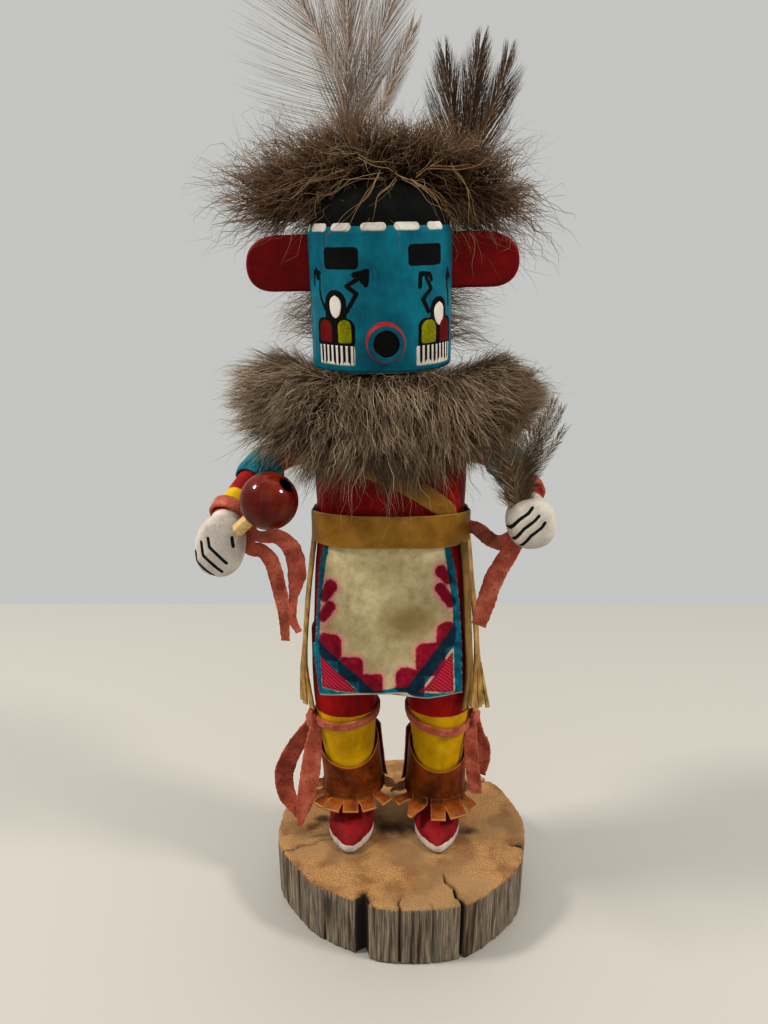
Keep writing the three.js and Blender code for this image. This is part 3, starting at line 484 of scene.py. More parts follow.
# Root-wood under matt paint: fine file marks and pores show through, and brush strokes vary the tone.
painted_root, tree, shader = finish_named("matt_paint_on_root_wood")
where = add(tree, "ShaderNodeTexCoord").outputs["Object"]
height = add(tree, "ShaderNodeSeparateXYZ", {0: where}).outputs["Z"]
height = sums(tree, "DIVIDE", height, MM)
wobble = sums(tree, "MULTIPLY_ADD", noise_at(tree, where, 2.6), 1.3, -0.65)
level = sums(tree, "ADD", height, wobble)


def brushed(tree, where, dark, middle, light, stretch=(1, 1, 7), shift=0.0):
    """Hand-painted colour: streaks left by the brush over a slightly cloudy coat."""
    streak = noise_at(tree, where, 0.7, stretch, 3.0, 0.6, shift)
    cloud = noise_at(tree, where, 7, detail=2.0, shift=shift + 1)
    coat = ramp(tree, cloud, (0.3, dark), (0.52, middle), (0.75, light))
    return mixed(tree, sums(tree, "MULTIPLY", step_up(tree, streak, 0.42, 0.72), 0.45), coat, light)


red = brushed(tree, where, "#6a0204", "#850608", "#9a0d0f")
yellow = brushed(tree, where, "#a47c00", "#b88f00", "#c9a206", shift=2.0)
moccasin = brushed(tree, where, "#640b10", "#791117", "#8c1a20", shift=4.0)
sole = brushed(tree, where, "#9e9890", "#b8b2a9", "#cac5bd", (1, 1, 1), 6.0)
KNEE = 63.4
colour = mixed(
    tree, step_up(tree, sums(tree, "MULTIPLY_ADD", wobble, 0.35, height), KNEE - 0.12, KNEE + 0.12), yellow,
    red,
)
colour = mixed(tree, step_up(tree, height, 33.2, 33.0), colour, moccasin)
colour = mixed(tree, step_up(tree, level, SLICE_HEIGHT + 3.1, SLICE_HEIGHT + 2.9), colour, sole)
pit = noise_at(tree, where, 0.5, detail=4.0, rough=0.7)
worn = step_up(tree, sums(tree, "ADD", pit, noise_at(tree, where, 9, shift=5.0)), 1.3, 1.42)
colour = mixed(tree, sums(tree, "MULTIPLY", worn, 0.35), colour, "#4d0b08")
tree.links.new(colour, shader.inputs["Base Color"])
shader.inputs["Roughness"].default_value = 0.62
shader.inputs["Specular IOR Level"].default_value = 0.15
file_marks = noise_at(tree, where, 0.35, (1, 1, 9), 2.0, 0.5)
tree.links.new(raised(tree, file_marks, 0.35, 0.12, raised(tree, pit, 0.3, 0.15)), shader.inputs["Normal"])

body = fused(tubes("carved_body", forms, painted_root), 0.75, 5)
spots = points_of(body)
push(body, 0.10 * grain(spots, (5, 5, 9)) + 0.05 * grain(spots, (1.6, 1.6, 3.4), 9.0))
keep(body, "painted_wood_red", "body")

# ---- The mask helmet with its snout and ears ----
# The head is a carved and sanded helmet, painted turquoise below and black above, with fine brushwork.
# The snout and the two paddle ears are separate pieces glued to it.
HEAD_AT = np.array([-2.7, -3, 176.7])
LEAN, ROLL, TURN = (math.radians(v) for v in (10, -1.6, 3))
HALF_WIDTH, HALF_DEPTH, TEAL_TOP, CROWN = 21.0, 17.6, 39.5, 12.8


def turned(axis, angle):
    c, s = math.cos(angle), math.sin(angle)
    made = np.eye(3)
    i, j = [k for k in range(3) if k != axis]
    sign = -1 if axis == 1 else 1
    made[i, i] = made[j, j] = c
    made[i, j], made[j, i] = -s * sign, s * sign
    return made


HEAD_TURN = turned(2, TURN) @ turned(1, ROLL) @ turned(0, LEAN)


def on_head(points):
    """Points of the mask's own frame, whose underside is z = 0, in the doll's frame."""
    return np.asarray(points, float) @ HEAD_TURN.T + HEAD_AT


MASK_COLUMNS = 420
bearings = circle(MASK_COLUMNS) + math.pi / 2
# Place along the profile: height, and share of the full width. The front centre is at bearing -90.
profile = [(0.0, s) for s in np.linspace(0.12, 0.93, 12)]
profile += [(0.06, 0.955), (0.25, 0.975), (0.6, 0.99), (1.1, 1.0)]
profile += [(h, 1.0) for h in np.arange(1.5, TEAL_TOP - 1.0, 0.4)]
profile += [(TEAL_TOP - 1.4 + 2.2 * t, 1 - 0.03 * t * t) for t in np.linspace(0.1, 0.9, 8)]
for rise in np.sin(np.linspace(0.1, 1, 34) * math.pi / 2 * 0.985):
    profile.append((TEAL_TOP + rise * CROWN, 0.975 * math.sqrt(1 - rise * rise)))
rings = [
    np.stack(
        [HALF_WIDTH * s * np.cos(bearings), HALF_DEPTH * s * np.sin(bearings), np.full(MASK_COLUMNS, h)],
        -1,
    ) for h, s in profile
]
mask_grid = np.array(rings)
local = np.concatenate([mask_grid.reshape(-1, 3), [[0, 0, 0], [0, 0, TEAL_TOP + CROWN]]])
# Way round the mask from its front centre in mm, plus to the doll's left, for the brushwork.
turn = np.arctan2(local[:, 0] / HALF_WIDTH, -local[:, 1] / HALF_DEPTH)
steps = np.linspace(-math.pi, math.pi, 721)
lengths = np.concatenate(
    [[0], np.cumsum(np.hypot(*np.diff([HALF_WIDTH * np.sin(steps), HALF_DEPTH * np.cos(steps)])))]
)
arc = np.interp(turn, steps, lengths) - np.interp(0, steps, lengths)
up = local[:, 2]
wobble = 0.10 * grain(np.stack([arc, up, 0 * up], -1), 1.9) + 0.05 * grain(
    np.stack([arc, up, 0 * up], -1), 0.7, 5.0,
)


def rounded(left, right, low, high, corner, top=None):
    """Distance outside a brushed block with round corners. top is a corner radius of its own for the top."""
    x, y = (left + right) / 2, (low + high) / 2
    radius = np.where(up > y, corner if top is None else top, corner)
    across = np.abs(arc - x) - (right - left) / 2 + radius
    over = np.abs(up - y) - (high - low) / 2 + radius
    return np.hypot(
        np.maximum(across, 0), np.maximum(over, 0),
    ) + np.minimum(np.maximum(across, over), 0) - radius


def stroke(places, width):
    """Distance outside a brush stroke through places (way round, height). width may be a list for its ends."""
    ends = np.broadcast_to(width, 2) / 2
    best = np.full(len(arc), 1e3)
    total = len(places) - 1
    for i, ((x0, y0), (x1, y1)) in enumerate(zip(places, places[1:])):
        dx, dy = x1 - x0, y1 - y0
        t = np.clip(((arc - x0) * dx + (up - y0) * dy) / (dx * dx + dy * dy), 0, 1)
        half = ends[0] + (ends[1] - ends[0]) * (i + t) / total
        best = np.minimum(best, np.hypot(arc - x0 - t * dx, up - y0 - t * dy) - half)
    return best


def lobe(x, low, high, half):
    """Distance outside an upright leaf: round above, drawn to a point below."""
    t = np.clip((up - low) / (high - low), 0, 1)
    width = half * np.sqrt(np.clip(1 - ((t - 0.62) / np.where(t > 0.62, 0.38, 0.62)) ** 2, 0, 1))
    return np.hypot(
        np.maximum(np.abs(arc - x) - width, 0), np.maximum(0, np.maximum(low - up, up - high)),
    ) - np.where(np.abs(arc - x) < width, np.minimum(width - np.abs(arc - x), 0.8), 0)


either = np.minimum.reduce
DASHES = [(-27.6, -25.5), (-23.7, -16.9), (-15.1, -9.0), (-6.2, 0.8), (2.9, 10.4), (13.0, 19.0), (24.8, 27.2)]
dashes = either([rounded(a, b, TEAL_TOP - 1.0, TEAL_TOP + 1.1, 0.95) for a, b in DASHES])
dashes = np.minimum(dashes, either([rounded(a + 54.6, b + 53.5, 38.7, 40.3, 0.8) for a, b in DASHES[1:-1]]))
black = [
    TEAL_TOP + 0.2 - up, rounded(-17.9, -7.0, 28.7, 34.5, 1.2), rounded(6.8, 18.1, 29.3, 35.0, 1.2),
    rounded(-22.0, -8.5, 8.0, 15.6, 0.6, 2.6), rounded(-18.2, -10.9, 14.2, 23.3, 1.0, 3.6),
    rounded(9.8, 23.9, 7.2, 15.2, 0.6, 2.6), rounded(14.0, 20.8, 13.0, 20.8, 1.0, 3.3),
    stroke([(-18.2, 18.0), (-19.9, 20.6), (-20.4, 23.0), (-20.1, 26.4)], (1.0, 0.6)),
    stroke([(-23.0, 24.2), (-22.8, 28.0), (-20.2, 27.6)], (0.8, 1.3)),
    stroke([(-21.6, 28.1), (-21.0, 26.6)], 1.8),
    stroke([(-10.9, 17.4), (-7.7, 22.3), (-10.7, 24.3), (-6.2, 26.9)], (1.3, 1.2)),
    stroke([(-8.4, 27.3), (-4.6, 28.2), (-5.0, 24.6)], 1.4), stroke([(-5.8, 27.4), (-5.6, 25.8)], 2.2),
    stroke([(13.3, 16.9), (11.4, 20.4), (14.2, 23.2), (12.4, 26.0)], (1.4, 1.1)),
    stroke([(10.4, 23.8), (10.5, 27.2), (13.6, 27.0), (14.3, 25.6)], 1.3),
    stroke([(22.7, 18.0), (22.3, 21.0), (21.4, 23.4), (21.8, 26.2)], 0.8),
    stroke([(21.0, 25.4), (21.8, 28.2), (23.1, 25.6)], 0.9),
    stroke([(26.6, 4.5), (26.4, 20.0), (26.8, 29.5)], 0.45), stroke([(-27.0, 13), (-26.8, 29.0)], 0.4),
]
red_spots = [rounded(-21.0, -16.1, 8.9, 15.0, 0.5, 2.0), rounded(17.9, 23.0, 7.9, 14.5, 0.5, 2.2)]
yellow_spots = [rounded(-13.9, -9.6, 8.8, 15.2, 0.6, 2.0), rounded(10.9, 16.2, 8.2, 14.6, 0.6, 2.3)]
white_spots = [
    dashes, lobe(-14.6, 15.6, 21.6, 2.0), lobe(17.6, 12.9, 19.2, 2.2), rounded(-21.4, -8.7, 2.4, 8.0, 0.5),
    rounded(9.2, 23.1, 1.9, 7.6, 0.5),
]
# The rain fringes: thin black lines down a white ground, ragged at their feet.
foot = 3.0 + 0.5 * np.sin(arc * 5.1)
phase = np.abs((arc + 21.0) % 1.62 - 0.81) * (np.abs(arc + 15.05) < 6.3) + 9 * (np.abs(arc + 15.05) >= 6.3)
phase_left = np.abs(
    (arc - 10.0) % 1.62 - 0.81
) * (np.abs(arc - 16.15) < 6.5) + 9 * (np.abs(arc - 16.15) >= 6.5)
lines = np.minimum(phase, phase_left) - 0.44
lines = np.maximum(lines, np.maximum(foot - up, up - 8.2))

# Acrylic on sanded wood: an even eggshell coat, with faint brush streaks and thick edges to the white dots.
mask_paint, tree, shader = finish_named("turquoise_and_black_acrylic")
where = add(tree, "ShaderNodeTexCoord").outputs["Object"]
teal = brushed(tree, where, "#015468", "#036477", "#087589", (1, 1, 6))
night = brushed(tree, where, "#040506", "#070809", "#0f1214", (6, 1, 1), 2.0)
chalk = brushed(tree, where, "#b9b3aa", "#d3cec6", "#e4e0da", (1, 1, 1), 3.0)
under = brushed(tree, where, "#a08a5c", "#b5a070", "#c4b184", (1, 1, 1), 4.0)


def painted(tree, below, name, above, soft=0.10):
    """Lays one colour over another where the stored distance is inside the stroke."""
    return mixed(tree, step_up(tree, stored(tree, name), soft, -soft), below, above)


colour = painted(tree, teal, "black", night)
colour = painted(tree, colour, "white", chalk)
colour = painted(tree, colour, "red", brushed(tree, where, "#4f0708", "#650c0d", "#781412", (1, 1, 1), 5.0))
colour = painted(
    tree, colour, "yellow", brushed(tree, where, "#5b6302", "#7d7f04", "#a59c08", (1, 1, 1), 7.0),
)
colour = painted(tree, colour, "lines", night)
colour = painted(tree, colour, "under", under, 0.3)
tree.links.new(colour, shader.inputs["Base Color"])
tree.links.new(
    mixed(tree, step_up(tree, stored(tree, "black"), 0.1, -0.1), (0.46,) * 3 + (1,), (0.85,) * 3 + (1,)),
    shader.inputs["Roughness"],
)
shader.inputs["Specular IOR Level"].default_value = 0.16
strokes = noise_at(tree, where, 0.3, (1, 1, 9), 2.0, 0.5)
grit = noise_at(tree, where, 0.8, detail=3.0)
thick = step_up(tree, stored(tree, "white"), 0.1, -0.35)
relief = raised(tree, strokes, 0.25, 0.08, raised(tree, grit, 0.2, 0.12))
tree.links.new(raised(tree, thick, 0.8, 0.22, relief), shader.inputs["Normal"])

mask = tubes("mask_helmet", [on_head(mask_grid.reshape(-1, 3)).reshape(mask_grid.shape)], mask_paint)
mark(mask, "black", either(black) + wobble)
mark(mask, "white", either(white_spots) + wobble)
mark(mask, "red", either(red_spots) + wobble)
mark(mask, "yellow", either(yellow_spots) + wobble)
mark(mask, "lines", lines)
mark(mask, "under", up - 0.35)
push(mask, 0.10 * grain(points_of(mask), 7) + 0.03 * grain(points_of(mask), 2.2, 3.0))
keep(mask, "painted_wood_teal", "head")

# The snout: a turned wooden plug, red round its side, turquoise on its face, with a black mouth hole.
SNOUT_Z, SNOUT_OUT = 9.4, 5.7
profile = [(0.5, -2.5), (5.3, -2.5), (5.5, -1.5), (5.5, 4.4)]  # radius, distance out from the mask
profile += [(5.5 - 0.6 * (1 - math.cos(t)), 4.8 + 0.9 * math.sin(t)) for t in np.linspace(0.1, 1.5, 7)]
profile += [(r, SNOUT_OUT) for r in (4.6, 4.2, 3.9)] + [
    (3.6, 5.62), (3.45, 5.4), (3.35, 4.8), (3.3, 3.9), (0.4, 3.7),
]
around = circle(72)
rings = [
    np.stack([r * np.cos(around), np.full(72, -HALF_DEPTH - out), SNOUT_Z + r * np.sin(around)], -1)
    for r, out in through(profile, 70)
]
snout_paint, tree, shader = finish_named("turquoise_and_red_acrylic")
where = add(tree, "ShaderNodeTexCoord").outputs["Object"]
# Painted shade: the face takes the mask's turquoise painted darker, for the shade on the snout's face.
face = brushed(tree, where, "#01485a", "#035466", "#086678", (2, 1, 1), 1.0)
colour = painted(tree, face, "rim", brushed(tree, where, "#7c1013", "#951e1f", "#ad302c", (1, 1, 1), 2.0))
colour = painted(tree, colour, "hole", "#060708")
tree.links.new(colour, shader.inputs["Base Color"])
shader.inputs["Roughness"].default_value = 0.46
shader.inputs["Specular IOR Level"].default_value = 0.16
tree.links.new(raised(tree, noise_at(tree, where, 0.6, detail=3.0), 0.25, 0.12), shader.inputs["Normal"])
grid = np.array(rings)
snout = tubes("snout_plug", [on_head(grid.reshape(-1, 3)).reshape(grid.shape)], snout_paint)
flat = np.concatenate([grid.reshape(-1, 3), grid[:1].mean(1), grid[-1:].mean(1)])
radius = np.hypot(flat[:, 0], flat[:, 2] - SNOUT_Z)
out = -flat[:, 1] - HALF_DEPTH
uneven = 0.12 * grain(flat, 1.4)
lift = np.clip((flat[:, 2] - SNOUT_Z) / 5.5, -1, 1)
mark(
    snout, "rim",
    np.maximum(
        np.abs(radius - 5.5) - 0.34 + (out < 0.6) * 9 - 0.3 * np.maximum(lift, 0), out - SNOUT_OUT - 1,
    ) + uneven,
)
mark(snout, "hole", radius - 3.62 + uneven)
keep(snout, "painted_wood_teal", "snout")

# The ears: flat paddles sawn from thin board, their edges sanded round.
EAR = {"right": 17.8, "left": 19.8}  # length out from the side of the mask
EAR_HEIGHT, EAR_THICKNESS, EAR_LOW = 15.7, 4.4, 22.1


def bezier(a, b, c, d, count):
    t = np.linspace(0, 1, count, endpoint=False)[:, None]
    return (1 - t) ** 3 * a + 3 * (1 - t) ** 2 * t * b + 3 * (1 - t) * t**2 * c + t**3 * d


def rounded_plate(outline, half, edge, steps=6):
    """Rings of a flat plate from its outline (n x 2), with edges rounded over a distance."""
    after, before = np.roll(outline, -1, 0), np.roll(outline, 1, 0)
    along = after - before
    inward = np.stack([-along[:, 1], along[:, 0]], -1) / np.linalg.norm(along, axis=1, keepdims=True)
    if np.sum((outline - outline.mean(0)) * inward) > 0:
        inward = -inward
    rings = []
    for t in np.linspace(-1, 1, 2 * steps + 1):
        inset = edge * (1 - math.cos(t * math.pi / 2))
        depth = half * math.sin(t * math.pi / 2) if abs(t) < 1 else half * t
        rings.append(np.concatenate([outline + inward * inset, np.full((len(outline), 1), depth)], 1))
    for side, t in [(side, t) for t in (0.8, 0.6, 0.4, 0.2) for side in (0, -1)]:
        rim = outline + inward * edge
        shrunk = rim.mean(0) + (rim - rim.mean(0)) * t
        flat = np.concatenate([shrunk, np.full((len(outline), 1), half if side else -half)], 1)
        rings.insert(len(rings) if side else 0, flat)
    return np.array(rings)


ear_paint, tree, shader = finish_named("deep_red_acrylic")
where = add(tree, "ShaderNodeTexCoord").outputs["Object"]
tree.links.new(brushed(tree, where, "#5c0001", "#6d0103", "#7f0407", (8, 1, 1)), shader.inputs["Base Color"])
shader.inputs["Roughness"].default_value = 0.5
shader.inputs["Specular IOR Level"].default_value = 0.16
strokes = noise_at(tree, where, 0.35, (9, 1, 1), 2.0, 0.5)
tree.links.new(
    raised(tree, strokes, 0.3, 0.1, raised(tree, noise_at(tree, where, 1.6), 0.3, 0.2)),
    shader.inputs["Normal"],
)

for side, reach in EAR.items():
    half, start = EAR_HEIGHT / 2, HALF_WIDTH - 3.0
    reach = reach + 3.3
    low, high = np.array([reach * 0.62, -half]), np.array([reach * 0.55, half])
    tip = np.array([reach, -half * 0.05])
    outline = np.concatenate(
        [
            np.linspace([0, -half], low, 24, endpoint=False),
            bezier(low, np.array([reach * 0.9, -half]), np.array([reach, -half * 0.6]), tip, 30),
            bezier(tip, np.array([reach, half * 0.55]), np.array([reach * 0.86, half * 0.95]), high, 34),
            np.linspace(high, [0, half * 1.02], 22, endpoint=False),
            np.linspace([0, half * 1.02], [0, -half], 12, endpoint=False),
        ]
    )
    rings = rounded_plate(outline, EAR_THICKNESS / 2, 0.8)
    sign = -1 if side == "right" else 1
    placed = np.stack([sign * (start + rings[..., 0]), rings[..., 2], EAR_LOW + half + rings[..., 1]], -1)
    ear = tubes(f"{side}_ear", [on_head(placed.reshape(-1, 3)).reshape(placed.shape)], ear_paint)
    fused(ear, 0.35, 3)
    push(ear, 0.07 * grain(points_of(ear), (9, 4, 3)))
    keep(ear, "painted_wood_red", f"ear_{side}")

# ---- Arms, hands, rattle and hand stick ----
# The arms are separate carved pieces pegged into the shoulders, painted red above a yellow band, with
# white fists. Black brush lines part the fingers. The right fist holds a peg with a varnished bead on it.
ARMS = {
    "right": [
        (-19.6, 0, 150.6), (-26, -0.6, 150.8), (-34, -2.6, 148.8), (-40.4, -6.4, 144.4),
        (-43.6, -11.5, 140), (-46.6, -17.5, 135.4), (-48.8, -23, 131), (-49.2, -27, 127),
    ],
    "left": [
        (19.6, 0, 150.8), (25, -0.6, 151.2), (31, -2.4, 149.8), (35.8, -6.4, 147), (38, -11.5, 143.5),
        (39.4, -17, 140), (40, -22.5, 136.3), (39.8, -26.5, 133.6),
    ],
}
HANDS = {  # centre, half sizes, lean in degrees
    "right": ((-49.2, -28, 125.4), (7.1, 7.4, 9), 12), "left": ((39.7, -28.4, 132.4), (7, 7.8, 7.6), -14),
}
YELLOW = {"right": (0.695, 0.78), "left": (0.69, 0.715)}  # places along the arm
FINGERS = {  # brush lines on the front of each fist: across and up from its centre
    "right": [
        [(-2.9, 2.9), (-2.1, 0.6), (3.4, -3.2)], [(-4.7, 1.4), (-3.5, -2.3), (2.5, -6.1)],
        [(-6.1, -2.0), (-5.4, -4.6), (0.1, -8.1)], [(3.6, 4.4), (4.4, 1.9)],
    ],
    "left": [
        [(-6.6, 0.7), (-4.0, 2.7), (-1.0, 4.0), (0.5, 5.2)],
        [(-6.2, -2.7), (-3.1, 0.0), (0.2, 1.6), (1.7, 2.6)],
        [(-4.7, -5.0), (-1.6, -2.4), (1.7, -0.8), (2.9, 0.3)],
    ],
}


def unit(v):
    return v / np.maximum(np.linalg.norm(v, axis=-1, keepdims=True), 1e-9)


def frames_of(path, up=(0, 0, 1)):
    """Directions along, across and out of a path, out lying as near to up as it can."""
    ahead = unit(np.gradient(path, axis=0))
    across = unit(np.cross(ahead, np.broadcast_to(up, path.shape)))
    return ahead, across, np.cross(across, ahead)


def arm_radius(t):
    return 4.9 - 0.6 * t


def pipe(path, radii, columns, up=(0, 0, 1)):
    """Rings of a round bar along a path."""
    _, across, out = frames_of(path, up)
    turn = circle(columns)[None, :, None]
    return path[:, None] + radii[:, None, None] * (
        across[:, None] * np.cos(turn) + out[:, None] * np.sin(turn)
    )


def lean_matrix(degrees):
    c, s = math.cos(math.radians(degrees)), math.sin(math.radians(degrees))
    return np.array([[c, 0, s], [0, 1, 0], [-s, 0, c]])


def line_distance(x, z, places, width):
    best = np.full(x.shape, 1e3)
    for (x0, z0), (x1, z1) in zip(places, places[1:]):
        dx, dz = x1 - x0, z1 - z0
        t = np.clip(((x - x0) * dx + (z - z0) * dz) / (dx * dx + dz * dz), 0, 1)
        best = np.minimum(best, np.hypot(x - x0 - t * dx, z - z0 - t * dz))
    return best - width / 2


# Matt acrylic: chalky white on the fist, rubbed a little grey, over the red and yellow of the arm.
arm_paint, tree, shader = finish_named("white_red_and_yellow_acrylic")
where = add(tree, "ShaderNodeTexCoord").outputs["Object"]
colour = brushed(tree, where, "#7a0607", "#8e0b0c", "#a01414", (1, 1, 1))
colour = painted(
    tree, colour, "yellow", brushed(tree, where, "#b18f02", "#c6a405", "#d6b512", (1, 1, 1), 2.0), 0.2,
)
colour = painted(
    tree, colour, "fist", brushed(tree, where, "#a8a198", "#bdb6ad", "#cfc9c1", (1, 1, 2), 4.0), 0.2,
)
rubbed = step_up(tree, noise_at(tree, where, 2.2, detail=4.0, rough=0.7, shift=8.0), 0.6, 0.72)
colour = mixed(tree, sums(tree, "MULTIPLY", rubbed, 0.35), colour, "#9b8f8a")
colour = painted(tree, colour, "finger", "#0e1012", 0.09)
tree.links.new(colour, shader.inputs["Base Color"])
shader.inputs["Roughness"].default_value = 0.6
shader.inputs["Specular IOR Level"].default_value = 0.15
relief = raised(tree, noise_at(tree, where, 0.4, detail=3.0), 0.3, 0.1)
tree.links.new(raised(tree, noise_at(tree, where, 1.8, shift=3.0), 0.4, 0.3, relief), shader.inputs["Normal"])

for side, points in ARMS.items():
    path = through(points, 120)
    reach = np.linspace(0, 1, 120)
    at, size, lean = HANDS[side]
    lat, lon = np.linspace(0.02, math.pi - 0.02, 60)[:, None], circle(72)[None, :]
    ball = np.stack(
        [np.sin(lat) * np.cos(lon), np.sin(lat) * np.sin(lon), np.cos(lat) * np.ones_like(lon)], -1,
    )
    ball[..., 1] = np.where(ball[..., 1] < -0.6, -0.6 + (ball[..., 1] + 0.6) * 0.5, ball[..., 1])
    for k in (0, 2):
        ball[..., k] = np.sign(ball[..., k]) * np.abs(ball[..., k]) ** 0.86
    fist = (ball * size) @ lean_matrix(lean).T + at
    arm = tubes(f"{side}_arm", [pipe(path, arm_radius(reach), 48), fist], arm_paint)
    fused(arm, 0.3, 6)
    spots = points_of(arm)
    own = (spots - at) @ lean_matrix(lean)
    nearest = np.argmin(((spots[:, None, ::] - path[None, ::3]) ** 2).sum(-1), 1) * 3
    t = reach[nearest] + np.sum((spots - path[nearest]) * frames_of(path)[0][nearest], 1) / 48
    inside = np.sqrt((own[:, 0] / size[0]) ** 2 + (own[:, 1] / size[1]) ** 2 + (own[:, 2] / size[2]) ** 2)
    rough = 0.12 * grain(spots, 1.3)
    low, high = YELLOW[side]
    mark(arm, "yellow", np.maximum(low - t, t - high) * 48 + rough)
    mark(arm, "fist", np.minimum((inside - 1.22) * 7, (0.88 - t) * 48) + rough)
    lines = np.minimum.reduce([line_distance(own[:, 0], own[:, 2], line, 0.9) for line in FINGERS[side]])
    mark(arm, "finger", np.where(own[:, 1] < 1, lines, 5.0) + 0.6 * rough)
    push(
        arm,
        0.12 * grain(spots, 4.5, 1.0) + 0.05 * grain(spots, 1.5, 6.0) - 0.12 * np.exp(
            -((lines / 0.5) ** 2)
        ) * (own[:, 1] < 0),
    )
    keep(arm, "painted_wood_white", f"arm_{side}")

# The rattle's peg is whittled from pale wood, so it keeps flat cuts along it.
BEAD_AT, BEAD_RADIUS, BORE, PEG = np.array([-33.6, -36.1, 139.9]), 8.0, 2.2, 1.9
fist_at = np.array(HANDS["right"][0])
peg_way = unit(BEAD_AT - fist_at)
peg_wood, tree, shader = finish_named("whittled_pale_wood")
where = add(tree, "ShaderNodeTexCoord").outputs["Object"]
fibre = noise_at(tree, where, 0.5, (3, 3, 3), 4.0, 0.7)
colour = ramp(tree, fibre, (0.3, "#a8814a"), (0.5, "#d2b077"), (0.7, "#e3c893"))
tree.links.new(colour, shader.inputs["Base Color"])
shader.inputs["Roughness"].default_value = 0.7
tree.links.new(raised(tree, fibre, 0.4, 0.1), shader.inputs["Normal"])
path = fist_at - peg_way + peg_way * np.linspace(0, 1, 50)[:, None] * (
    np.linalg.norm(BEAD_AT - fist_at) + 3.5
)
turn = circle(48)
facets = np.cos(math.pi / 7) / np.cos((turn % (2 * math.pi / 7)) - math.pi / 7)
_, across, out = frames_of(path)
rings = path[:, None] + PEG * 1.04 * (
    across[:, None] * (np.cos(turn) * facets)[None, :, None]
    + out[:, None] * (np.sin(turn) * facets)[None, :, None]
)
peg = tubes("rattle_peg", [rings], peg_wood)
push(peg, 0.10 * grain(points_of(peg), (2.6, 2.6, 2.6), 2.0))
keep(peg, "dowel_wood", "rattle_stick")

# The rattle is a turned wooden bead, dyed red-brown and dipped in clear gloss varnish.
varnish, tree, shader = finish_named("varnished_red_brown_bead")
where = add(tree, "ShaderNodeTexCoord").outputs["Object"]
ring = noise_at(tree, where, 5.5, (1, 1, 2.2), 3.0, 0.6, 1.2)
deep = ramp(tree, ring, (0.3, "#430a02"), (0.5, "#5a1203"), (0.7, "#742206"))
speck = noise_at(tree, where, 0.6, (1, 1, 4), 4.0, 0.7, 4.0)
colour = mixed(tree, sums(tree, "MULTIPLY", step_up(tree, speck, 0.5, 0.72), 0.1), deep, "#8a3c12")
# Painted shade: the wall of the bore is near-black, for the dark inside of the hole.
colour = mixed(tree, step_up(tree, stored(tree, "bore_shade"), 0.0, 1.0), colour, "#120503")
tree.links.new(colour, shader.inputs["Base Color"])
shader.inputs["Roughness"].default_value = 0.35
shader.inputs["Specular IOR Level"].default_value = 0.05
shader.inputs["Coat Weight"].default_value = 0.45
shader.inputs["Coat Roughness"].default_value = 0.04
slope = np.linspace(
    math.asin((BORE + 0.25) / BEAD_RADIUS), math.pi - math.asin((BORE + 0.25) / BEAD_RADIUS), 64,
)
profile = np.stack([BEAD_RADIUS * np.sin(slope), BEAD_RADIUS * np.cos(slope)], -1)
half = math.sqrt(BEAD_RADIUS**2 - BORE**2)
wall = np.stack([np.full(30, BORE), np.linspace(-half + 0.1, half - 0.1, 30)], -1)
profile = np.concatenate([profile, wall])
first = unit(np.cross(peg_way, (0, 0, 1.0)))
second = np.cross(peg_way, first)
turn = circle(96)[:, None, None]
around = first * np.cos(turn) + second * np.sin(turn)
rings = BEAD_AT + around * profile[None, :, :1] + peg_way * profile[None, :, 1:]
bead = tubes("rattle_bead_ball", [rings], varnish, hoop=True)
# Marks the bore's wall, which takes the painted shade.
mark(bead, "bore_shade", np.tile(np.concatenate([np.zeros(64), np.ones(30)]), 96))
keep(bead, "varnished_bead", "rattle_bead")

# ---- Suede ties: armbands, wrist ties and garters ----
# Turquoise suede bands round the upper arms, and coral suede lace knotted at the wrists and below the
# knees with its ends left hanging. Suede is a fuzzy split leather, cut by hand, so its edges are furred.
LACE, LEATHER, GAP = 3.4, 0.9, 0.3
ARMBANDS = {"right": (0.355, 0.555), "left": (0.335, 0.545)}
WRIST_BANDS = {"right": (0.78, 0.855), "left": (0.74, 0.8)}


def suede(name, dark, middle, light):
    material, tree, shader = finish_named(name)
    where = add(tree, "ShaderNodeTexCoord").outputs["Object"]
    nap = noise_at(tree, where, 0.28, detail=5.0, rough=0.75)
    tufts = noise_at(tree, where, 0.8, detail=3.0, shift=3.0)
    cloud = noise_at(tree, where, 5, detail=2.0, shift=1.0)
    colour = ramp(tree, cloud, (0.3, dark), (0.55, middle), (0.8, light))
    colour = mixed(tree, sums(tree, "MULTIPLY", step_up(tree, nap, 0.5, 0.66), 0.6), colour, light)
    colour = mixed(tree, sums(tree, "MULTIPLY", step_up(tree, tufts, 0.46, 0.3), 0.7), colour, dark)
    tree.links.new(colour, shader.inputs["Base Color"])
    shader.inputs["Roughness"].default_value = 0.95
    shader.inputs["Specular IOR Level"].default_value = 0.05
    shader.inputs["Sheen Weight"].default_value = 0.15
    relief = raised(tree, nap, 0.9, 0.25)
    tree.links.new(raised(tree, tufts, 0.8, 0.4, relief), shader.inputs["Normal"])
    return material


turquoise_suede = suede("turquoise_suede", "#07505c", "#0b7482", "#1b93a2")
coral_suede = suede("coral_suede", "#80392b", "#b15c49", "#cb7f68")


def flat_section(columns=11):
    """Half sizes across and through a flat strap with softly rounded edges, from -1 to 1."""
    u = np.sin(np.linspace(-math.pi / 2, math.pi / 2, columns))
    v = (1 - np.abs(u) ** 8) ** 0.5
    return np.concatenate([np.stack([u, v], -1), np.stack([u[::-1], -v[::-1]], -1)[1:-1]])


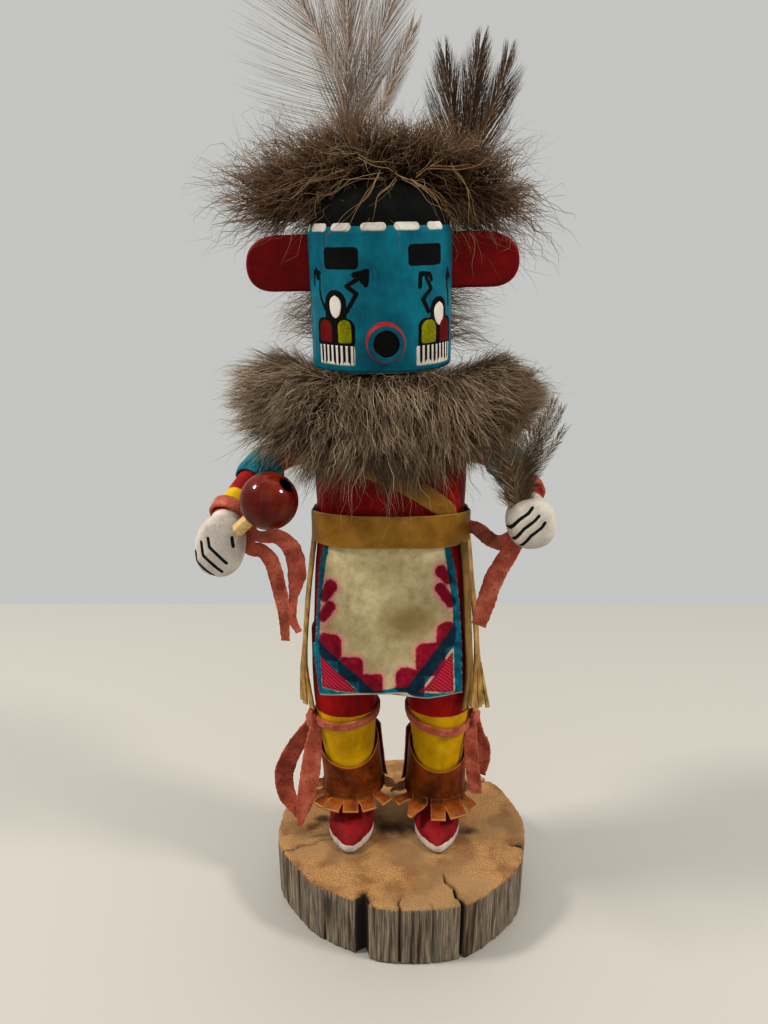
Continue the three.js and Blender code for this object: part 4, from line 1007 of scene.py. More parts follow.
def strap(points, widths, thickness, faces, count=90, columns=11, curl=0.0, ragged=0.0):
    """Rings of a flat strap through points. faces are the ways that it looks, at its start and its end."""
    path = through(points, count)
    share = np.linspace(0, 1, count)
    ahead = unit(np.gradient(path, axis=0))
    face = np.stack(
        [np.interp(share, np.linspace(0, 1, len(faces)), np.asarray(faces, float)[:, k]) for k in range(3)],
        -1,
    )
    across = unit(np.cross(ahead, face))
    out = np.cross(across, ahead)
    width = np.interp(share, np.linspace(0, 1, len(widths)), widths)
    section = flat_section(columns)
    edge = ragged * grain(path, 1.2, points[0][0])[:, None] * np.abs(section[None, :, 0]) ** 4
    reach = section[None, :, 0] * width[:, None] / 2 + edge * np.sign(section[None, :, 0])
    lift = section[None, :, 1] * thickness / 2 + curl * section[None, :, 0] ** 2
    return path[:, None] + across[:, None] * reach[..., None] + out[:, None] * lift[..., None]


def sleeve(path, start, end, radius, thickness, rows=120, columns=9):
    """Rings of a band round a path, from one share of its length to another."""
    share = np.linspace(0, 1, len(path))
    ahead, across, out = frames_of(path)
    section = flat_section(columns)
    at = start + (end - start) * (section[:, 0] + 1) / 2
    turn = circle(rows)[:, None]
    base, side, top = (
        np.stack([np.interp(at, share, way[:, k]) for k in range(3)], -1) for way in (path, across, out)
    )
    reach = (radius(at) + thickness / 2 * (1 + section[:, 1]))[None, :, None]
    return base[None] + reach * (side[None] * np.cos(turn)[..., None] + top[None] * np.sin(turn)[..., None])


def furred(made, amount=0.16, size=0.9, seed=0.0):
    """The uneven nap and hand-cut edges of suede."""
    spots = points_of(made)
    return push(made, amount * grain(spots, size, seed) + 0.7 * amount * grain(spots, size * 2.4, seed + 3))


for side, points in ARMS.items():
    path = through(points, 200)
    start, end = ARMBANDS[side]
    rings = sleeve(path, start, end, lambda t: arm_radius(t) + GAP * 0.6, LEATHER + 0.3, 180, 17)
    armband = tubes(f"{side}_armband", [rings], turquoise_suede, hoop=True)
    furred(armband, 0.2, 0.75)
    keep(armband, "turquoise_suede", f"armband_{side}")

WRIST_ENDS = {  # each lace: its way, its widths, and the ways that its face looks
    "right": [
        (
            [
                (-45.6, -23.4, 132.4), (-42.8, -22.0, 130.6), (-41.2, -21.2, 127.2), (-38.4, -21, 126.2),
                (-33.6, -21.2, 126.3), (-29.6, -21.4, 122.6), (-28.2, -21.6, 115.5), (-29.6, -21.7, 107),
                (-29.8, -21.8, 101), (-28.0, -21.8, 97.0),
            ],
            [3.4, 4.2, 4.6, 5.0, 5.6, 5.6, 3.0, 2.6, 2.0],
            [(0.1, -1, 0.2), (0, -0.6, 1), (0.2, -1, 0.5), (0.2, -1, 0), (0.7, -1, 0), (0.3, -1, 0)],
        ),
        (
            [
                (-45.4, -24.2, 131.4), (-42.6, -23.4, 127.6), (-41.6, -23.0, 123.4), (-38.4, -22.9, 122.6),
                (-35.4, -23, 119.2), (-33.6, -23.2, 112.5), (-32.2, -23.3, 104.5), (-31.8, -23.4, 95.0),
            ],
            [3.4, 4.0, 4.4, 4.6, 4.4, 3.6, 2.6],
            [(0.1, -1, 0.1), (0, -0.8, 0.6), (-0.2, -1, 0.2), (-0.3, -1, 0)],
        ),
    ],
    "left": [
        (
            [
                (39.4, -18.6, 133.8), (36.6, -20.4, 127.6), (33.4, -19.4, 124.4), (30.6, -14, 123.8),
                (27.6, -5, 125.2), (24.6, -1.2, 125.6),
            ],
            [3.4, 4.0, 4.4, 4.6, 4.8, 4.6],
            [(0, -1, 0), (0, -1, 0.3), (-0.2, -0.9, 0.5), (-0.3, -0.6, 0.8)],
        ),
        (
            [
                (40.2, -19.2, 133.4), (37.8, -20.8, 126.4), (34.6, -20.9, 120.6), (31.0, -20.6, 113.6),
                (28.8, -20.0, 106), (26.8, -19.4, 98.4),
            ],
            [3.4, 4.6, 5.4, 5.8, 5.6, 4.6], [(0, -1, 0), (-0.3, -1, 0), (-0.3, -1, 0)],
        ),
    ],
}


def joined(kept, *others):
    """Puts the meshes of other objects into the first one, and removes them."""
    cells = bmesh.new()
    for one in (kept, *others):
        cells.from_mesh(one.data)
    cells.to_mesh(kept.data)
    cells.free()
    kept.data.shade_smooth()
    for one in others:
        bpy.data.objects.remove(one)
    return kept


for side, points in ARMS.items():
    path = through(points, 200)
    start, end = WRIST_BANDS[side]
    rings = sleeve(path, start, end, lambda t: arm_radius(t) + GAP * 0.6, LEATHER + 0.5, 150, 11)
    band = tubes("band", [rings], coral_suede, hoop=True)
    laces = [
        strap(way, widths, LEATHER, faces, 150, 13, 0.25, 0.2) for way, widths, faces in WRIST_ENDS[side]
    ]
    wrist_tie = tubes(f"{side}_wrist_tie", laces, coral_suede)
    joined(wrist_tie, band)
    furred(wrist_tie, 0.13, 0.8, 2.0)
    keep(wrist_tie, "coral_suede", f"wrist_tie_{side}")

GARTERS = {  # height, drop in front, drop on the outer side, knot, widths and ways of the two ends
    "right": (
        61.4, 1.2, 1.2, (-11, -3, 59.2), [3.4, 6.2, 6.8, 6.0, 1.8],
        [
            [
                (-10.6, -2.2, 60.2), (-14.8, -2.8, 53.3), (-19.2, -2.8, 46), (-21.6, -3, 38.5),
                (-20.4, -3.5, 30.9), (-15.4, -5.6, 23.4),
            ],
            [
                (-10.4, -4.4, 59.6), (-10.6, -6, 54.4), (-11.4, -7.6, 47.6), (-12.2, -8.6, 41.4),
                (-14, -9.4, 32), (-15.8, -10, 24.2),
            ],
        ],
    ),
    "left": (
        60.5, 2.4, 1.6, (11.6, -0.6, 59.2), [3.4, 4.6, 5.0, 4.8, 4.0],
        [
            [(11.2, -2, 60), (10.6, -5, 52.6), (10.8, -6.6, 48), (11.3, -7.2, 43), (12.9, -7.6, 34.6)],
            [(12, 0, 60), (13.7, 0.6, 52), (15.6, 1, 48), (16, 1, 43), (14.9, 1.4, 36.6)],
        ],
    ),
}


def leg_radius(height):
    return np.interp(height, [row[0] for row in LEG], [row[1] for row in LEG])


for side, (height, dip, tilt, knot, widths, ends) in GARTERS.items():
    outward = -1 if side == "right" else 1
    centre = float(leg_centre(side, height))
    turn = circle(150)
    section = flat_section(11)
    level = height + dip * np.sin(turn) - tilt * outward * np.cos(turn)
    z = level[:, None] + section[None, :, 0] * LACE * 0.42
    radius = leg_radius(z) + 0.1 + (1 + section[None, :, 1]) * (LEATHER + 0.3) / 2
    ring = np.stack([centre + radius * np.cos(turn)[:, None], radius * np.sin(turn)[:, None], z], -1)
    garter = tubes(f"{side}_garter", [ring], coral_suede, hoop=True)
    x, y, z = np.array(knot) + (centre, 0, 0)
    loops = [  # the half knot: one turn over, one turn under, and the loop between
        [
            (x, y + 1.8, z + 2.4), (x + 1.1 * outward, y - 1.6, z + 1.6),
            (x + 0.6 * outward, y - 2.4, z - 1.6), (x, y, z - 3),
        ],
        [
            (x - 0.8 * outward, y - 2.6, z + 1.4), (x + 1.6 * outward, y - 1.2, z + 0.6),
            (x + 1.9 * outward, y + 1.6, z - 0.6), (x, y + 2.6, z - 1.6),
        ],
        [
            (x - 1.2 * outward, y - 2.0, z - 1.2), (x + 1.2 * outward, y - 2.6, z - 0.4),
            (x + 1.6 * outward, y + 0.4, z + 1.8), (x, y + 2.4, z + 1.8),
        ],
    ]
    knots = [
        strap(loop, [3.0, 3.6, 3.6, 3.0], LEATHER + 0.3, [(outward, -0.6, 0)], 40, 9, -0.3)
        for loop in loops
    ]
    laces = [
        strap(
            np.array(way) + (centre, 0, 0), widths, LEATHER, [(-0.3 * outward, -1, 0)], 130, 13, 0.3, 0.25,
        ) for way in ends
    ]
    joined(garter, tubes("ends", knots + laces, coral_suede))
    furred(garter, 0.13, 0.8, 4.0 + outward)
    keep(garter, "coral_suede", f"garter_{side}")

# ---- Boots ----
# Each lower leg is wrapped in a piece of brown calf leather, lapped at the back of the inner side. Its foot
# is slit into a fringe that stands out over the moccasin.
BOOT_FOOT = {"right": 33.0, "left": 31.4}
BOOT_RISE = 11.8


def leather(name, dark, middle, light, cut, rough=0.5):
    """Vegetable-tanned calf: smooth, with fine pores, handling marks and paler cut edges (stored as edge), and
    painted shade where stored as shade.
    """
    material, tree, shader = finish_named(name)
    where = add(tree, "ShaderNodeTexCoord").outputs["Object"]
    pores = noise_at(tree, where, 0.32, detail=4.0, rough=0.7)
    marks = noise_at(tree, where, 1.6, (1, 1, 1), 4.0, 0.65, 2.0)
    cloud = noise_at(tree, where, 6, detail=2.0, shift=4.0)
    colour = ramp(tree, cloud, (0.3, dark), (0.52, middle), (0.78, light))
    colour = mixed(tree, sums(tree, "MULTIPLY", step_up(tree, marks, 0.5, 0.72), 0.5), colour, light)
    colour = mixed(tree, sums(tree, "MULTIPLY", step_up(tree, pores, 0.44, 0.3), 0.7), colour, dark)
    colour = mixed(tree, sums(tree, "MULTIPLY", stored(tree, "edge"), 0.8), colour, cut)
    # Painted shade, where the piece stores it as shade.
    colour = mixed(tree, sums(tree, "MULTIPLY", stored(tree, "shade"), 0.85), colour, dark)
    tree.links.new(colour, shader.inputs["Base Color"])
    shader.inputs["Roughness"].default_value = rough
    shader.inputs["Specular IOR Level"].default_value = 0.2
    relief = raised(tree, pores, 0.5, 0.12)
    tree.links.new(raised(tree, marks, 0.4, 0.25, relief), shader.inputs["Normal"])
    return material


boot_leather = leather("brown_calf_leather", "#3c1800", "#662c02", "#8a460e", "#b06a2a")
fringe_leather = leather("orange_brown_calf_leather", "#4a2003", "#7a3e0c", "#99591e", "#bb8144")
FRINGES = {  # bearing, width at its foot and tip, reach out, drop, twist of the tip
    "right": [
        (-160, 4.2, 3.6, 5.6, 0.6, 1.0), (-138, 4.4, 3.8, 6.0, 1.2, 0.8), (-115, 4.6, 4.6, 4.8, 2.0, 0.1),
        (-89, 5.2, 5.2, 4.4, 2.0, 0.0), (-61, 5.2, 5.0, 4.6, 2.0, -0.2), (-32, 4.8, 4.4, 5.0, 1.6, -0.6),
        (12, 6.4, 5.6, 4.0, 2.2, 0.2), (66, 6.6, 6.0, 3.6, 2.4, 0.0), (118, 6.6, 6.0, 3.6, 2.4, 0.0),
        (166, 5.6, 5.0, 4.4, 2.0, 0.4),
    ],
    "left": [
        (-158, 4.8, 4.2, 5.6, 1.2, 0.4), (-131, 6.2, 1.6, 6.4, 3.0, 0.4), (-93, 5.0, 5.0, 5.4, 2.8, 0.0),
        (-64, 6.6, 6.2, 5.2, 2.6, -0.2), (-34, 4.8, 4.0, 5.0, 2.4, -0.4), (14, 6.6, 5.8, 4.0, 2.4, 0.0),
        (70, 6.8, 6.0, 3.6, 2.4, 0.2), (122, 6.6, 6.0, 3.6, 2.4, 0.0), (168, 5.8, 5.0, 4.4, 2.2, -0.4),
    ],
}


def inward_of(side):
    """The way along X from a leg to the other one."""
    return 1 if side == "right" else -1


def wrap(side, turn, up, out):
    """A point of a boot's wrap: up from 0 to 1, out in mm from its inside."""
    foot, inward = BOOT_FOOT[side], inward_of(side)
    back = 0.5 + 0.5 * np.sin(turn)
    inner = 0.5 + 0.5 * inward * np.cos(turn)
    z = foot + (BOOT_RISE + 9 * back + 3.5 * inner * back) * up
    flare = 4 * back * inner * (1 - up) + 0.5 * (1 - up) ** 6
    radius = leg_radius(z) + 0.45 + flare + out
    return np.stack([leg_centre(side, z) + radius * np.cos(turn), radius * np.sin(turn), z], -1)


for side in BOOT_FOOT:
    inward = inward_of(side)
    turn = np.linspace(0, 2 * math.pi, 161)[:-1]
    section = flat_section(27)
    up, out = (section[:, 0] + 1) / 2, (section[:, 1] + 1) * LEATHER / 2
    ring = wrap(side, turn[:, None], up[None], out[None])
    boot = tubes(f"{side}_boot", [ring], boot_leather, hoop=True)
    # The lap: the wrap's loose end, one thickness further out, with its edge lifting a little.
    lap_turn = math.pi / 2 - inward * np.linspace(0.1, 1.15, 30)
    lap_rows = np.linspace(0.03, 0.99, 40)
    lift = 1.05 + 0.9 * np.linspace(0, 1, 30) ** 3
    section = flat_section(30)
    across = np.interp((section[:, 0] + 1) / 2, np.linspace(0, 1, 30), lap_turn)
    rise = np.interp((section[:, 0] + 1) / 2, np.linspace(0, 1, 30), lift)
    lap = np.array(
        [
            wrap(side, across, np.full(len(across), row), rise + (section[:, 1] + 1) * LEATHER / 2)
            for row in lap_rows
        ]
    )
    edge_up = np.tile(up, 160)
    mark(boot, "edge", np.clip((edge_up - 0.965) * 40, 0, 1) * 0.9)
    # Painted shade: the wrap darkens towards its foot, above the fringe.
    mark(boot, "shade", np.clip(0.35 - edge_up * 1.6, 0, 0.35) * 2)
    lap_piece = tubes("lap", [lap], boot_leather)
    mark(lap_piece, "edge", np.concatenate([(np.abs(np.tile(section[:, 0], 40)) > 0.97) * 0.7, [0, 0]]))
    mark(lap_piece, "shade", np.zeros(len(lap_piece.data.vertices)))
    tabs = []
    for degrees, width, tip_width, reach, drop, twist in FRINGES[side]:
        bearing = math.radians(degrees)
        way = np.array([math.cos(bearing), math.sin(bearing), 0.0])
        side_way = np.array([-way[1], way[0], 0.0])
        start = wrap(side, np.array(bearing), np.array(0.16), np.array(0.5))
        edge = wrap(side, np.array(bearing), np.array(0.0), np.array(0.45))
        fold = edge + way * 0.9 + (0, 0, -0.5)
        tip = edge + way * reach + (0, 0, -drop) + side_way * twist
        middle = (fold + tip) / 2 + way * 0.2 + (0, 0, 0.35)
        shape_width = [width, width, width, (width + tip_width) / 2, tip_width]
        facing = way * 0.5 + (0, 0, 1.2) + side_way * twist * 0.4
        tabs.append(
            strap(
                [start, edge, fold, middle, tip], shape_width, LEATHER, [way, way + (0, 0, 0.7), facing],
                40, 11, 0.12, 0.12,
            )
        )
    fringe = tubes("fringe", tabs, fringe_leather)
    along_tab = np.concatenate([np.concatenate([np.repeat(np.linspace(0, 1, 40), 20), [0, 1]]) for _ in tabs])
    across_tab = np.concatenate(
        [np.concatenate([np.tile(np.abs(flat_section(11)[:, 0]), 40), [0, 0]]) for _ in tabs]
    )
    mark(fringe, "edge", np.clip((np.maximum(along_tab, across_tab) - 0.93) * 20, 0, 1))
    # Painted shade: each tab darkens towards its root at the boot.
    mark(fringe, "shade", np.clip(0.5 - along_tab, 0, 0.5) * 1.6)
    joined(boot, lap_piece)
    push(boot, 0.12 * grain(points_of(boot), 4.5, 2.0) + 0.03 * grain(points_of(boot), 1.1, 5.0))
    push(fringe, 0.06 * grain(points_of(fringe), 1.6, 2.0))
    fringe.name = f"{side}_boot_fringe"
    keep(boot, "boot_leather", f"boot_{side}")
    keep(fringe, "boot_leather", f"boot_{side}")

# ---- Belt, bandolier and sash ends ----
# One strip of gold-tan leather goes round the waist. A narrower one crosses the chest from the right
# shoulder and is tucked under it, and the loose ends of a sash hang beside the hips.
BELT_Z, BELT_HEIGHT = 127.0, 10.0
belt_leather = leather("gold_tan_leather", "#7c5616", "#8f6722", "#a1762e", "#bd9a58", 0.38)
sash_leather = leather("tan_split_leather", "#644a20", "#9a7840", "#bd9c62", "#cdb07a", 0.62)


def torso_size(z):
    table = np.array(TORSO)
    return np.interp(z, table[:, 0], table[:, 1]), np.interp(z, table[:, 0], table[:, 2])


def off_torso(turn, z, out):
    """Points that stand off the torso's surface at bearings and heights."""
    half_width, half_depth = torso_size(z)
    x, y = oval(turn, half_width + out, half_depth + out)
    return np.stack([x, y, z + 0 * x], -1)


turn = circle(260)
section = flat_section(17)
over_apron = np.clip((-np.sin(turn) - 0.1) / 0.25, 0, 1) ** 2 * (LEATHER + GAP)
lip = 0.25 * np.abs(section[:, 0]) ** 6
nick = 1.2 * np.exp(-(((turn - math.radians(360 - 36)) / 0.035) ** 2))
z = BELT_Z + section[None, :, 0] * BELT_HEIGHT / 2 + (
    nick[:, None] - 0.25 * np.sin(turn[:, None] * 5)
) * np.clip(-section[None, :, 0], 0, 1) ** 4
out = 0.35 + over_apron[:, None] + (section[None, :, 1] + 1) * LEATHER / 2 + lip[None]
belt = tubes("leather_belt", [off_torso(turn[:, None], z, out)], belt_leather, hoop=True)
mark(belt, "edge", np.tile(np.clip((np.abs(section[:, 0]) - 0.96) * 30, 0, 1) * 0.7, 260))
mark(belt, "shade", np.zeros(260 * len(section)))
push(belt, 0.07 * grain(points_of(belt), (6, 6, 3)) + 0.03 * grain(points_of(belt), 1.2, 2.0))
keep(belt, "tan_leather", "belt")

BANDOLIER = [  # bearing in degrees and height, from the belt in front over the shoulder to the belt behind
    (-47, 130.5), (-51, 133.4), (-81, 141.8), (-112, 147.4), (-140, 152.8), (-180, 157.0), (-220, 152.8),
    (-248, 147.4), (-279, 141.8), (-309, 133.4), (-313, 130.5),
]
places = through([(math.radians(a) * 20, z, 0) for a, z in BANDOLIER], 200)
bearing, heights = places[:, 0] / 20, places[:, 1]
spine = off_torso(bearing, heights, 0.95)
ahead = unit(np.gradient(spine, axis=0))
normal = unit(
    np.cross(
        off_torso(bearing + 0.02, heights, 0.9) - off_torso(bearing - 0.02, heights, 0.9),
        off_torso(bearing, heights + 0.3, 0.9) - off_torso(bearing, heights - 0.3, 0.9),
    )
)
across = unit(np.cross(ahead, normal))
section = flat_section(13)
rings = spine[:, None] + across[:, None] * section[
    None, :, :1,
] * 3.1 + normal[:, None] * section[None, :, 1:] * LEATHER / 2
bandolier = tubes("shoulder_strap", [rings], belt_leather)
mark(
    bandolier, "edge",
    np.concatenate([np.tile(np.clip((np.abs(section[:, 0]) - 0.95) * 20, 0, 1), 200), [0, 0]]),
)
mark(bandolier, "shade", np.zeros(len(bandolier.data.vertices)))
push(bandolier, 0.06 * grain(points_of(bandolier), 3.5, 6.0))
keep(bandolier, "tan_leather", "bandolier")

SASHES = {  # route, width at the belt, flare of the foot, bearings that the face looks to, slits in the foot
    "sash_right": (
        [
            (-24.3, -2.4, 124), (-24.7, -2.4, 121.4), (-26.4, -2.6, 108), (-27.4, -3, 98), (-28.3, -3, 86),
            (-28.7, -3, 76), (-27.9, -3.4, 64),
        ],
        6.4, 1.25, (-165, -140), 3,
    ),
    "sash_left_front": (
        [
            (22.6, -8.0, 124), (23, -8.2, 121.4), (24.2, -8.4, 108), (24.8, -8.6, 94), (25.6, -8.6, 77),
            (24.4, -9.2, 65),
        ],
        5.0, 1.2, (-30, -30), 2,
    ),
    "sash_left_back": (
        [
            (24.7, -0.8, 124), (25.1, -0.8, 121.4), (26.5, -0.6, 108), (28.4, 0, 92), (29.3, -0.6, 74),
            (29.7, -2.8, 62.4),
        ],
        6.0, 1.6, (-18, -50), 5,
    ),
}
for node, (route, width, flare, faces, slits) in SASHES.items():
    # Only the strap's foot is slit: below the slits it is made as narrow strips that spread.
    path = through(route, 160)
    share = np.linspace(0, 1, 160)
    swing = np.clip((share - 0.6) / 0.4, 0, 1)
    swing = swing * swing * (3 - 2 * swing)
    face = np.radians(faces[0] + (faces[1] - faces[0]) * swing)
    look = np.stack([np.cos(face), np.sin(face), 0 * face], -1)
    ahead = unit(np.gradient(path, axis=0))
    across = unit(np.cross(ahead, look))
    spread = np.clip((share - 0.7) / 0.3, 0, 1) ** 1.4
    wider = width * (1 + (flare - 1) * spread)
    section = flat_section(13)
    half = wider[:, None, None] / 2
    whole = path[:, None] + across[:, None] * section[
        None, :, :1,
    ] * half + look[:, None] * section[None, :, 1:] * LEATHER / 2
    strips, levels = [whole[:124]], [share[:124]]
    for i in range(slits):
        middle = -1 + (2 * i + 1) / slits
        wave = 0.5 * spread * math.sin(3.1 * i + len(node)) + 0.3 * (i % 2) * spread
        way = path + across * (middle * wider / 2)[:, None] + look * wave[:, None]
        end = 160 - int(5 * abs(math.sin(5.3 * i + width)))
        rows = slice(120, end)
        half = (wider / slits * 0.47)[rows, None, None]
        curl = 0.3 * section[None, :, :1] ** 2 * spread[rows, None, None]
        out = look[rows, None] * (section[None, :, 1:] * LEATHER * 0.48 + curl)
        strips.append(way[rows, None] + across[rows, None] * section[None, :, :1] * half + out)
        levels.append(share[rows] * 159 / (end - 1))
    sash = tubes(node + "_end", strips, sash_leather)
    level = np.concatenate(
        [np.concatenate([np.repeat(rows, len(section)), rows[[0, -1]]]) for rows in levels]
    )
    mark(sash, "edge", np.clip((level - 0.975) * 30, 0, 1) * 0.8)
    # Painted shade: the left sash's front strip is much darker all over, as its shaded side; the others a
    # little.
    mark(sash, "shade", np.full(len(level), 0.8 if node == "sash_left_front" else 0.1))
    push(sash, 0.05 * grain(points_of(sash), (1.2, 1.2, 6), 2.0))
    keep(sash, "tan_leather", node)

# ---- The apron ----
# A painted panel of soft chamois, tucked under the belt and hanging free below. Its dye bled a little as
# it was painted, and the bottom edge is cut and frayed.
APRON_EDGES = [  # height, and the places of its right and left edge along X
    (74.6, -22.6, 22.6), (88.5, -24.7, 22.3), (92, -23.8, 22.2), (104, -23.2, 21.4), (114, -22.6, 20),
    (122, -20.8, 18.2), (130, -19.4, 16.8),
]
APRON_LOW, APRON_HIGH, APRON_FRONT, APRON_FLAT = 74.6, 130.0, -17.9, (0.047, 0.057)
COLUMNS, ROWS = 170, 200
table = np.array(APRON_EDGES)
s, down = np.meshgrid(np.linspace(0, 1, COLUMNS), np.linspace(0, 1, ROWS))
level = APRON_HIGH + (APRON_LOW - APRON_HIGH) * down
left_edge = np.interp(
    level, table[:, 0], table[:, 2],
) + 0.12 * np.sin(level * 1.9) + 0.1 * np.sin(level * 4.3)
right_edge = np.interp(
    level, table[:, 0], table[:, 1],
) + 0.12 * np.sin(level * 2.3) + 0.1 * np.sin(level * 3.7)
x = right_edge + (left_edge - right_edge) * s
arch = 1.8 * (1 - 4 * (s - 0.5) ** 2) - 1.1 * np.sin(9 * (s - 0.5) + 0.6)
foot = arch * down**6 + 0.22 * grain(np.stack([x, 0 * x, 0 * x], -1), 0.9) * down**10
half_width, half_depth = torso_size(level)
reach = np.clip(np.abs(x) / (half_width + 0.45), 0, 1)
close = -(half_depth + 0.45) * (1 - reach**SQUARENESS) ** (1 / SQUARENESS)
flat = APRON_FRONT + 0.006 * x * x + 0.45 * np.sin(0.42 * x)
hang = np.clip((down - 0.15) / 0.85, 0, 1)
hang = hang * hang * (3 - 2 * hang)
y = close + (flat - close) * hang + (0.10 * grain(np.stack([x, level, 0 * x], -1), 6) * hang)
front = np.stack([x, y - LEATHER, level + foot], -1)
back = np.stack([x, y, level + foot], -1)
# Going round the panel at each height closes front and back into one skin.
ring = np.concatenate(
    [
        front[:, :1] * 0.5 + back[:, :1] * 0.5, front, front[:, -1:] * 0.5 + back[:, -1:] * 0.5,
        back[:, ::-1],
    ],
    1,
)
uv_x = np.concatenate([x[:, :1], x, x[:, -1:], x[:, ::-1]], 1)
uv_z = np.concatenate(
    [level[:, :1] + foot[:, :1], level + foot, level[:, -1:] + foot[:, -1:], (level + foot)[:, ::-1]], 1,
)
face = np.concatenate(
    [np.full((ROWS, 1), 0.5), np.ones((ROWS, COLUMNS)), np.full((ROWS, 1), 0.5), np.zeros((ROWS, COLUMNS))],
    1,
)


def brush(places, width):
    """Distance outside a brush stroke on the panel. width may be a list, for its two ends."""
    ends = np.broadcast_to(width, 2) / 2
    best = np.full(uv_x.shape, 1e3)
    total = len(places) - 1
    for i, ((x0, z0), (x1, z1)) in enumerate(zip(places, places[1:])):
        dx, dz = x1 - x0, z1 - z0
        t = np.clip(((uv_x - x0) * dx + (uv_z - z0) * dz) / (dx * dx + dz * dz), 0, 1)
        half = ends[0] + (ends[1] - ends[0]) * (i + t) / total
        best = np.minimum(best, np.hypot(uv_x - x0 - t * dx, uv_z - z0 - t * dz) - half)
    return best


def block(left, right, low, high, corner):
    """Distance outside a dab with round corners."""
    across = np.abs(uv_x - (left + right) / 2) - (right - left) / 2 + corner
    over = np.abs(uv_z - (low + high) / 2) - (high - low) / 2 + corner
    return np.hypot(
        np.maximum(across, 0), np.maximum(over, 0),
    ) + np.minimum(np.maximum(across, over), 0) - corner


def inside_of(*corners):
    """Distance outside a triangle, its corners in anticlockwise order."""
    sides = []
    for (x0, z0), (x1, z1) in zip(corners, corners[1:] + corners[:1]):
        dx, dz = x1 - x0, z1 - z0
        sides.append(((uv_x - x0) * dz - (uv_z - z0) * dx) / math.hypot(dx, dz))
    return np.maximum.reduce(sides)


def line_at(values, *knots):
    return np.interp(values, [a for a, _ in knots], [b for _, b in knots])


wander = 0.22 * grain(
    np.stack([uv_x, 0 * uv_x, uv_z], -1), 1.6,
) + 0.1 * grain(np.stack([uv_x, 0 * uv_x, uv_z], -1), 0.6)
border_right = line_at(
    uv_z, (75.6, -21.6), (78.9, -21.8), (85, -22.1), (93.7, -22.4), (103, -22.1), (113, -20.7),
    (122.6, -19.1), (130, -18),
)
border_left = line_at(
    uv_z, (75.6, 20.3), (82.2, 19.9), (91.7, 19.6), (98, 19.4), (104, 19.1), (111, 17.9), (117, 16.9),
    (122, 16.2), (130, 15),
)
hem = line_at(uv_x, (-23, 76.6), (-13, 77.4), (-4, 77.5), (5.6, 77.3), (15.4, 77.2), (23, 76.4))
teal_marks = either(
    [
        uv_x - border_right, border_left - uv_x, uv_z - hem,
        brush([(-23.2, 89.6), (-17.6, 85.6), (-13.3, 82.2), (-9, 78.8), (-6.5, 76.6)], (3.2, 3.6)),
        brush([(21.4, 95.4), (18.2, 91.6), (14.6, 87.6), (10.5, 82.6), (7.2, 78)], (4.4, 3.6)),
    ]
)
red_marks = either(
    [
        block(-22.6, -15.5, 86, 94.3, 2.2), block(-16.6, -8.7, 80.5, 87.6, 1.8),
        block(-10, -2.6, 75, 82.6, 1.6), block(14.1, 20.4, 90, 98.1, 2.6), block(7.7, 17, 82, 92.2, 2.6),
        block(1.5, 10.5, 75, 83.9, 2.6), brush([(-18.6, 109.2), (-20.9, 105.2)], (4.0, 3.0)),
        brush([(-18.9, 102.8), (-21.6, 98.8)], (3.4, 2.8)),
        brush([(15.2, 114.4), (17.6, 111.2)], (3.6, 3.0)),
        brush([(15.0, 109.2), (18.6, 104.0)], (3.2, 3.4)),
    ]
)
corners_red = np.minimum(
    inside_of((-22.4, 87.6), (-21.7, 76.9), (-10.4, 77.6)),
    inside_of((19.4, 88.8), (10.2, 77.9), (19.9, 76.9)),
)
foot_edge = line_at(
    uv_x, (-23.2, 73.7), (-19.2, 74.2), (-13, 74.7), (-4, 75.7), (5, 75.5), (5.8, 74.8), (7.5, 74.2),
    (11.4, 73.8), (17.6, 73.9), (23, 74.6),
)
ring[..., 2] += (foot_edge - uv_z[-1:]) * np.tile(down[:, :1] ** 5, (1, ring.shape[1]))

material, tree, shader = finish_named("dye_painted_chamois")
where = add(tree, "ShaderNodeTexCoord").outputs["Object"]
nap = noise_at(tree, where, 0.5, detail=4.0, rough=0.7)
hide = noise_at(tree, where, 3.2, detail=4.0, rough=0.6, shift=3.0)
cloud = noise_at(tree, where, 13, detail=2.0, shift=8.0)
chamois = ramp(tree, hide, (0.3, "#a89a74"), (0.5, "#bfb28c"), (0.72, "#cfc4a2"))
chamois = mixed(tree, sums(tree, "MULTIPLY", step_up(tree, cloud, 0.56, 0.38), 0.4), chamois, "#a39166")
chamois = mixed(tree, sums(tree, "MULTIPLY", step_up(tree, nap, 0.56, 0.36), 0.25), chamois, "#8f7f58")
chamois = mixed(tree, sums(tree, "MULTIPLY", stored(tree, "smudge"), 0.85), chamois, "#856f42")
bleed = sums(tree, "MULTIPLY_ADD", sums(tree, "SUBTRACT", nap, 0.5), 1.4, stored(tree, "red"))
chamois = mixed(tree, sums(tree, "MULTIPLY", step_up(tree, bleed, 1.9, 0.0), 0.75), chamois, "#cf7f84")
crimson = ramp(tree, hide, (0.35, "#6c0520"), (0.55, "#860a2a"), (0.75, "#a31a38"))
marked = mixed(tree, step_up(tree, bleed, 0.35, -0.3), chamois, crimson)
spot = add(tree, "ShaderNodeSeparateXYZ")
tree.links.new(where, spot.inputs[0])
lines_at = sums(
    tree, "MULTIPLY_ADD", spot.outputs["Z"], 5200.0, sums(tree, "MULTIPLY", spot.outputs["X"], 4300.0),
)
hatch = step_up(tree, sums(tree, "SINE", sums(tree, "MULTIPLY_ADD", nap, 2.6, lines_at)), -0.2, 0.6)
pink = mixed(tree, sums(tree, "MULTIPLY", hatch, 0.75), "#8f0c2c", "#c23a52")
marked = mixed(tree, step_up(tree, stored(tree, "corner"), 0.2, -0.3), marked, pink)
